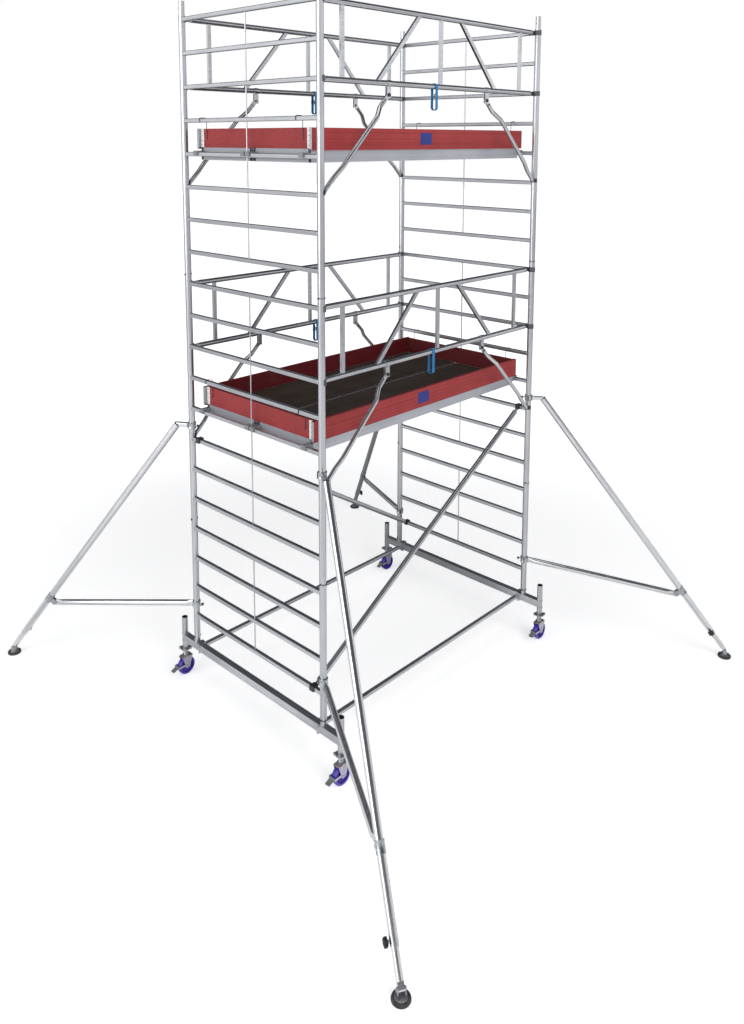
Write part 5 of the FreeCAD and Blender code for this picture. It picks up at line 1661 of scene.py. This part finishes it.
@dataclass
class Outrigger:
    """One outrigger: couplers, arm, leg, strut, collar, knob and foot."""

    corner: Corner
    grid: Grid
    palette: Palette
    upper: float = 2.2
    lower: float = 0.692
    arm_end: float = 0.125
    leg: float = 0.026
    leg_low: float = 0.205
    collar_out: float = 1.36
    pivot_height: float = 0.062
    strut: float = 0.024
    ring_gap: float = 0.0255
    ring_outer: float = 0.0335
    ring_tall: float = 0.05
    knob: float = 0.028
    arm_size: float = 0.034
    arm_corner: float = 0.005
    leg_wall: float = 0.0025
    bead: float = 0.003
    stud: float = 0.0052
    stud_length: float = 0.034
    knob_lobes: int = 6
    knob_points: int = 72
    knob_radius: float = 0.0232
    knob_lobe: float = 0.0046
    ear_gap: float = 0.0185
    ear: float = 0.006
    foot_pin: float = 0.007
    collar_half: float = 0.035
    reach: float = field(init=False)
    place: Matrix = field(init=False)

    def __post_init__(self) -> None:
        """Read the foot's place off the CAD frame and set the outrigger's own axes."""
        low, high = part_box(f"outrigger_foot_{self.corner.name}")
        out = Vector(((low.x + high.x) / 2, (low.y + high.y) / 2, 0.0)) - self.grid.foot(self.corner)
        self.reach = out.length
        self.place = Matrix.Translation(self.grid.foot(self.corner)) @ \
            Matrix.Rotation(math.atan2(out.y, out.x), 4, "Z")

    @property
    def top(self) -> Vector:
        """The leg's top end in the outrigger's own axes."""
        return Vector((self.arm_end, 0.0, self.upper))

    @property
    def pivot(self) -> Vector:
        """The foot's pin in the outrigger's own axes."""
        return Vector((self.reach, 0.0, self.pivot_height))

    @property
    def slope(self) -> Vector:
        """Unit direction down the leg."""
        return (self.pivot - self.top).normalized()

    @property
    def under(self) -> Vector:
        """Unit direction square to the leg, towards the strut."""
        return Vector((self.slope.z, 0.0, -self.slope.x))

    @property
    def leg_end(self) -> Vector:
        """Where the outer tube ends."""
        return self.top + (self.pivot - self.top) * ((self.upper - self.leg_low) / (self.upper - self.pivot_height))

    @property
    def collar(self) -> Vector:
        """The collar's middle on the leg."""
        share = (self.collar_out - self.arm_end) / (self.reach - self.arm_end)
        return self.top + (self.pivot - self.top) * share

    def _at(self, local: Vector) -> Vector:
        """A point of the outrigger in the tower's axes."""
        return self.place @ local

    def _facing(self, local: Vector, direction: Sequence[float],
                hint: Sequence[float] = (0, 0, 1)) -> Matrix:
        """A place on the outrigger whose Z axis points along a direction of its own."""
        return self.place @ looking(local, direction, hint)

    def build(self) -> None:
        """Make the clamped triangle, its black parts and the foot."""
        name = self.corner.name
        dress([f"outrigger_foot_tube_{name}"], self.palette["foot tube aluminium"])
        self._tubes(name)
        self._couplers(name)
        self._star_knob(name)
        self._foot(name)

    def _tubes(self, name: str) -> None:
        """Arm, leg, strut and the arm's weld bead at its upper coupler.

        Args:
            name: the corner's name.
        """
        piece = Workpiece(f"outrigger_tubes_{name}")
        slope = self.slope
        piece.pipe(self._at(self.top), self._at(self.leg_end), self.leg, self.leg_wall, 32)
        arm = [self._at(Vector((x, 0.0, self.upper)))
               for x in (self.ring_outer - 0.003, self.arm_end + 0.004)]
        piece.sweep(arm, soft_box(self.arm_size, self.arm_size, self.arm_corner, 3))
        under = self.under
        start = Vector((self.ring_outer - 0.002, 0.0, self.lower))
        end = self.collar + under * (self.leg + 0.048 - 0.012)
        flat = (end - start).normalized()
        place = self._facing(start, flat, (0, 1, 0))
        length = (end - start).length
        rings = []
        for share, squash in ((0.0, 0.34), (0.020, 0.36), (0.050, 1.0), (length - 0.075, 1.0),
                              (length - 0.040, 0.40), (length - 0.004, 0.36), (length, 0.32)):
            rings.append([place @ Vector((x * (1.0 + 0.10 * (1 - squash)), y * squash, share))
                          for x, y in ring(self.strut, 28)])
        piece.skin(rings)
        bead = [self._at(Vector((self.ring_outer + 0.001, y, self.upper + z))) for y,
                z in soft_box(self.arm_size, self.arm_size, self.arm_corner, 3)]
        piece.sweep(bead, ring(self.bead, BEAD_CORNERS), True, ALONG, 1)
        piece.hand_over(f"outrigger_{name}",
                        [self.palette["leg aluminium"], self.palette["weld bead"]],
                        [f"outrigger_{name}"])
        cap = Workpiece(f"outrigger_leg_caps_{name}")
        crown = self._facing(self.top - slope * 0.0022, -slope)
        cap.lathe([(0.0, -0.012), (0.0232, -0.012), (0.0232, -0.002), (0.0262, -0.002), (0.0264, -0.001),
                   (0.0255, 0.0008), (0.0150, 0.0022), (0.0, 0.0024)], crown, 30)
        cap.hand_over(f"outrigger_{name}", [self.palette["black plastic"]])

    def _couplers(self, name: str) -> None:
        """Two ring clamps on the upright and the collar with its clevis on the leg.

        Args:
            name: the corner's name.
        """
        piece = Workpiece(f"outrigger_couplers_{name}")
        for height in (self.upper, self.lower):
            self._ring_clamp(piece, height)
        slope = self.slope
        collar = self._facing(self.collar - slope * self.collar_half, slope)
        inner, outer = self.leg + 0.0001, self.leg + 0.004
        piece.lathe([(inner, 0.0), (outer - 0.0008, 0.0), (outer, 0.001), (outer, 0.008),
                     (outer - 0.0012, 0.011),
                     (outer - 0.0012, 0.059), (outer, 0.062), (outer, 0.069), (outer - 0.0008, 0.07),
                     (inner, 0.07)],
                    collar, 32, True)
        under = self.under
        for side in SIDES:
            lug = self._facing(self.collar + under * (self.leg + 0.023) + Vector((0.0, side * 0.0115 - 0.002, 0.0)),
                               ACROSS, slope)
            piece.plate(soft_box(0.050, 0.046, 0.014, 5), 0.004, lug, 0.0006)
        pin = self.collar + under * (self.leg + 0.034)
        piece.pipe(self._at(pin - Vector((0.0, 0.015, 0.0))), self._at(pin + Vector((0.0, 0.015, 0.0))),
                   0.005, 0.0, 16)
        for side in SIDES:
            piece.nut(0.016, 0.006, self._facing(pin + Vector((0.0, side * 0.0135, 0.0)), (0.0, side, 0.0)))
        piece.hand_over(f"outrigger_{name}",
                        [self.palette["zinc steel"], self.palette["dark clamp"],
                                                         self.palette["coupler aluminium"]])

    def _ring_clamp(self, piece: Workpiece, height: float) -> None:
        """One coupler: ring, flanges, swing bolt and wing nut.

        Args:
            piece: the piece it is added to.
            height: the height of its middle.
        """
        base = self.place @ Matrix.Translation((0.0, 0.0, height - self.ring_tall / 2))
        inner, outer, tall = self.ring_gap, self.ring_outer, self.ring_tall
        piece.lathe([(inner, 0.0), (outer - 0.001, 0.0), (outer, 0.0012), (outer, 0.010),
                     (outer - 0.002, 0.013),
                     (outer - 0.002, tall - 0.013), (outer, tall - 0.010), (outer, tall - 0.0012),
                     (outer - 0.001, tall), (inner, tall)], base, 36, True, 2)
        hinge = self.place @ Matrix.Translation((0.0, -outer + 0.0015, height - tall / 2 + 0.002))
        piece.lathe([(0.0, 0.0), (0.0045, 0.0), (0.005, 0.0006), (0.005, tall - 0.0046),
                     (0.0045, tall - 0.004),
                     (0.0, tall - 0.004)], hinge, 14, False, 1)
        stud = Vector((-self.ring_gap - 0.004, 0.008, height))
        piece.pipe(self._at(stud), self._at(stud - Vector((self.stud_length, 0.0, 0.0))), self.stud, 0.0,
                   14)
        nut = self._facing(stud - Vector((0.019, 0.0, 0.0)), (-1.0, 0.0, 0.0))
        piece.lathe([(0.0, 0.0), (0.0118, 0.0), (0.012, 0.0006), (0.0105, 0.009), (0.0085, 0.0148),
                     (0.0, 0.015)],
                    nut, 20, False, 1)
        for side in SIDES:
            wing = nut @ Matrix.Translation((side * 0.0150, 0.0028, 0.0)) @ Matrix.Rotation(math.pi / 2, 4,
                                                                                            "X")
            outline = [(-0.0075 * side, 0.001), (0.0060 * side, 0.0045), (0.0078 * side, 0.0090),
                       (0.0072 * side, 0.0132), (0.0040 * side, 0.0148), (-0.0020 * side, 0.0125),
                       (-0.0075 * side, 0.0110)]
            piece.plate(outline, 0.0056, wing, 0.0010)

    def _star_knob(self, name: str) -> None:
        """The lobed knob on its stem that clamps the foot tube.

        Args:
            name: the corner's name.
        """
        piece = Workpiece(f"outrigger_star_knob_{name}")
        spot = self.leg_end - self.slope * self.knob
        stem = self._facing(spot - Vector((0.0, self.leg - 0.001, 0.0)), (0.0, -1.0, 0.0))
        piece.lathe([(0.0, -0.001), (0.0095, -0.001), (0.0095, 0.006), (0.0085, 0.0125), (0.0, 0.0125)],
                    stem, 20, False, 1)
        rings = []
        levels = ((0.0115, 0.80), (0.0135, 0.93), (0.0180, 1.0), (0.0270, 1.0), (0.0325, 0.95),
                  (0.0352, 0.80))
        for height, share in levels:
            points = []
            for k in range(self.knob_points):
                angle = 2 * math.pi * k / self.knob_points
                radius = (self.knob_radius + self.knob_lobe * math.cos(self.knob_lobes * angle)) * share
                points.append(stem @ Vector((radius * math.cos(angle), radius * math.sin(angle),
                                             height - 0.0005)))
            rings.append(points)
        piece.skin(rings)
        piece.lathe([(0.0, 0.0340), (0.0100, 0.0340), (0.0100, 0.0356), (0.0085, 0.0362), (0.0, 0.0362)],
                    stem, 20)
        piece.hand_over(f"outrigger_{name}",
                        [self.palette["black plastic"], self.palette["zinc steel"]],
                        crease=50.0)

    def _foot(self, name: str) -> None:
        """A ribbed rubber sole, a steel dish, two ears and the pin.

        Args:
            name: the corner's name.
        """
        body = f"outrigger_foot_{name}"
        sole = Workpiece(f"foot_sole_{name}")
        ground = self.place @ Matrix.Translation((self.reach, 0.0, 0.0))
        sole.lathe([(0.0, 0.0), (0.010, 0.0), (0.012, 0.0015), (0.019, 0.0015), (0.021, 0.0), (0.029, 0.0),
                    (0.031, 0.0015), (0.038, 0.0015), (0.040, 0.0), (0.050, 0.0), (0.0542, 0.002),
                    (0.055, 0.005),
                    (0.0545, 0.011), (0.0525, 0.0165), (0.048, 0.0195), (0.040, 0.0205), (0.0, 0.0205)],
                    ground, 48)
        sole.hand_over(body, [self.palette["rubber"]], [body])
        clevis = Workpiece(f"foot_clevis_{name}")
        clevis.lathe([(0.0, 0.0200), (0.036, 0.0200), (0.0375, 0.0212), (0.0370, 0.0225), (0.030, 0.0232),
                      (0.0, 0.0236)], ground, 36)
        for number in range(4):
            angle = math.pi / 2 * number
            spot = ground @ Matrix.Translation((0.032 * math.cos(angle), 0.032 * math.sin(angle), 0.0226))
            clevis.dome(0.0035, 0.0016, spot, 10)
        gap = self.ear_gap
        outline = [(-0.0165, 0.0225), (0.0165, 0.0225), (0.0145, 0.045), (0.0140, 0.062), (0.0122, 0.0690),
                   (0.0080, 0.0738), (0.0, 0.0757), (-0.0080, 0.0738), (-0.0122, 0.0690), (-0.0140, 0.062),
                   (-0.0145, 0.045)]
        for side in SIDES:
            face = gap + self.ear if side > 0 else -gap
            upright = self.place @ Matrix.Translation((self.reach, face,
                                                       0.0)) @ Matrix.Rotation(math.pi / 2, 4, "X")
            clevis.plate(outline, self.ear, upright, 0.0007)
            head = self._facing(Vector((self.reach, side * (gap + 0.0058), self.pivot_height)),
                                (0.0, side, 0.0))
            clevis.nut(0.019, 0.0045, head)
        pin_end = Vector((0.0, gap + 0.001, 0.0))
        clevis.pipe(self._at(self.pivot - pin_end), self._at(self.pivot + pin_end), self.foot_pin, 0.0, 18)
        clevis.hand_over(body, [self.palette["zinc steel"]])


@dataclass
class Studio:
    """The floor, lights, surroundings and camera."""

    effects: Effects
    lens: float = 30.731
    place: Triple = (-5.1458, -4.9093, 4.4523)
    heading: float = 0.7588
    pitch: float = 0.1317
    roll: float = 0.0023
    shift: Pair = (0.0, -0.25)
    sensor: float = 36.0
    clip: float = 500.0
    floor_half: float = 60.0
    aim_drop: float = 2.4
    wall_dark: tuple = (0.34, 0.345, 0.355, 1.0)
    wall_light: tuple = (1.1, 1.1, 1.1, 1.0)
    ceiling: tuple = (0.07, 0.075, 0.085, 1.0)
    floor_pale: tuple = (0.93, 0.93, 0.93, 1.0)
    floor_mottle: tuple = (0.88, 0.88, 0.885, 1.0)
    floor_dark: tuple = (0.32, 0.32, 0.325, 1.0)
    floor_light: tuple = (0.82, 0.82, 0.82, 1.0)
    glow_dark: tuple = (0.03, 0.03, 0.03, 1.0)
    glow_light: tuple = (0.35, 0.35, 0.35, 1.0)

    def build(self) -> None:
        """Set the stage."""
        self._surroundings()
        self._floor()
        self._lights()
        self._camera()
        bpy.context.scene.view_settings.view_transform = "Standard"

    def _surroundings(self) -> None:
        """A pale room: one dark side, faint panels and a dark ceiling."""
        world = bpy.data.worlds.new("studio")
        bpy.context.scene.world = world
        world.use_nodes = True
        wiring = Wiring(world.node_tree)
        background = world.node_tree.nodes["Background"]
        direction = wiring.add("ShaderNodeTexCoord").outputs["Generated"]
        height = wiring.split(direction).outputs["Z"]
        light = wiring.group(self.effects.room, Direction=direction).outputs[0]
        walls = wiring.blend(light, self.wall_dark, self.wall_light)
        lowered = wiring.maths("SUBTRACT", height, wiring.times(light, 0.24))
        room = wiring.blend(wiring.span(lowered, 0.01, 0.22), walls, self.ceiling)
        seen = wiring.add("ShaderNodeLightPath").outputs["Is Camera Ray"]
        wiring.feed(background.inputs["Color"], wiring.blend(seen, room, WHITE))
        background.inputs["Strength"].default_value = 1.0

    def _floor(self) -> None:
        """A wide pale floor with a faint mottle, shaded off towards the room's dark side."""
        half = self.floor_half
        mesh = bpy.data.meshes.new("floor")
        bm = bmesh.new()
        corners = [bm.verts.new((x * half, y * half, 0.0)) for x, y in ((-1, -1), (1, -1), (1, 1), (-1, 1))]
        bm.faces.new(corners)
        bm.to_mesh(mesh)
        bm.free()
        material = bpy.data.materials.new("pale floor")
        material.use_nodes = True
        wiring = Wiring(material.node_tree)
        shader = material.node_tree.nodes["Principled BSDF"]
        place = wiring.add("ShaderNodeTexCoord").outputs["Object"]
        mottle = wiring.noise(place, 1.2, 4.0)
        pale = wiring.blend(mottle, self.floor_pale, self.floor_mottle)
        light = wiring.group(self.effects.room, Direction=place).outputs[0]
        mirrored = wiring.blend(light, self.floor_dark, self.floor_light)
        seen = wiring.add("ShaderNodeLightPath").outputs["Is Camera Ray"]
        wiring.feed(shader.inputs["Base Color"], wiring.blend(seen, mirrored, pale))
        wiring.feed(shader.inputs["Roughness"], wiring.span(mottle, 0.0, 1.0, 0.85, 0.95))
        far = wiring.span(wiring.vector("LENGTH", place).outputs["Value"], 3.0, 9.0, 0.5, 1.0)
        glow = wiring.blend(far, BLACK, WHITE)
        dim = wiring.blend(light, self.glow_dark, self.glow_light)
        wiring.feed(shader.inputs["Emission Color"], wiring.blend(seen, dim, glow))
        shader.inputs["Emission Strength"].default_value = 1.0
        mesh.materials.append(material)
        floor = bpy.data.objects.new("floor", mesh)
        bpy.context.scene.collection.objects.link(floor)

    def _lights(self) -> None:
        """A broad key from the camera's right, a fill from its left and a soft top light."""
        settings = (("key", (-2.0, -11.0, 9.5), 9.0, 900.0), ("fill", (-12.0, 1.0, 6.0), 9.0, 700.0),
                    ("top", (0.0, 0.0, 12.5), 6.0, 220.0))
        for name, spot, size, power in settings:
            lamp = bpy.data.lights.new(name, "AREA")
            lamp.shape = "SQUARE"
            lamp.size = size
            lamp.energy = power
            light = bpy.data.objects.new(name, lamp)
            light.visible_camera = False
            light.visible_glossy = name != "key"
            light.matrix_world = looking(spot, Vector(spot) - Vector((0.0, 0.0, self.aim_drop)))
            bpy.context.scene.collection.objects.link(light)

    def _camera(self) -> None:
        """The view from above the near left corner, looking slightly down."""
        data = bpy.data.cameras.new("camera")
        data.lens = self.lens
        data.sensor_width = self.sensor
        data.sensor_fit = "AUTO"
        data.shift_x, data.shift_y = self.shift
        data.clip_end = self.clip
        camera = bpy.data.objects.new("camera", data)
        ahead = Vector((math.cos(self.heading) * math.cos(self.pitch),
                        math.sin(self.heading) * math.cos(self.pitch), -math.sin(self.pitch)))
        level = Vector((math.sin(self.heading), -math.cos(self.heading), 0.0))
        up = level.cross(ahead)
        right = level * math.cos(self.roll) + up * math.sin(self.roll)
        up = right.cross(ahead)
        turned = Matrix((right, up, -ahead)).transposed().to_4x4()
        camera.matrix_world = Matrix.Translation(Vector(self.place)) @ turned
        bpy.context.scene.collection.objects.link(camera)
        bpy.context.scene.camera = camera


def main() -> None:
    """Build the stage and dress the tower from the ground up."""
    logging.basicConfig(level=logging.INFO, format="%(name)s: %(message)s")
    effects = Effects()
    Studio(effects).build()
    palette = Palette(effects)
    grid = Grid.measured()
    EndFrames(grid, palette).build()
    Base(grid, palette).build()
    Decks(grid, palette).build()
    Guards(grid, palette).build()
    for corner in CORNERS:
        Castor(corner, palette).build()
        Outrigger(corner, grid, palette).build()


if __name__ == "__main__":
    main()
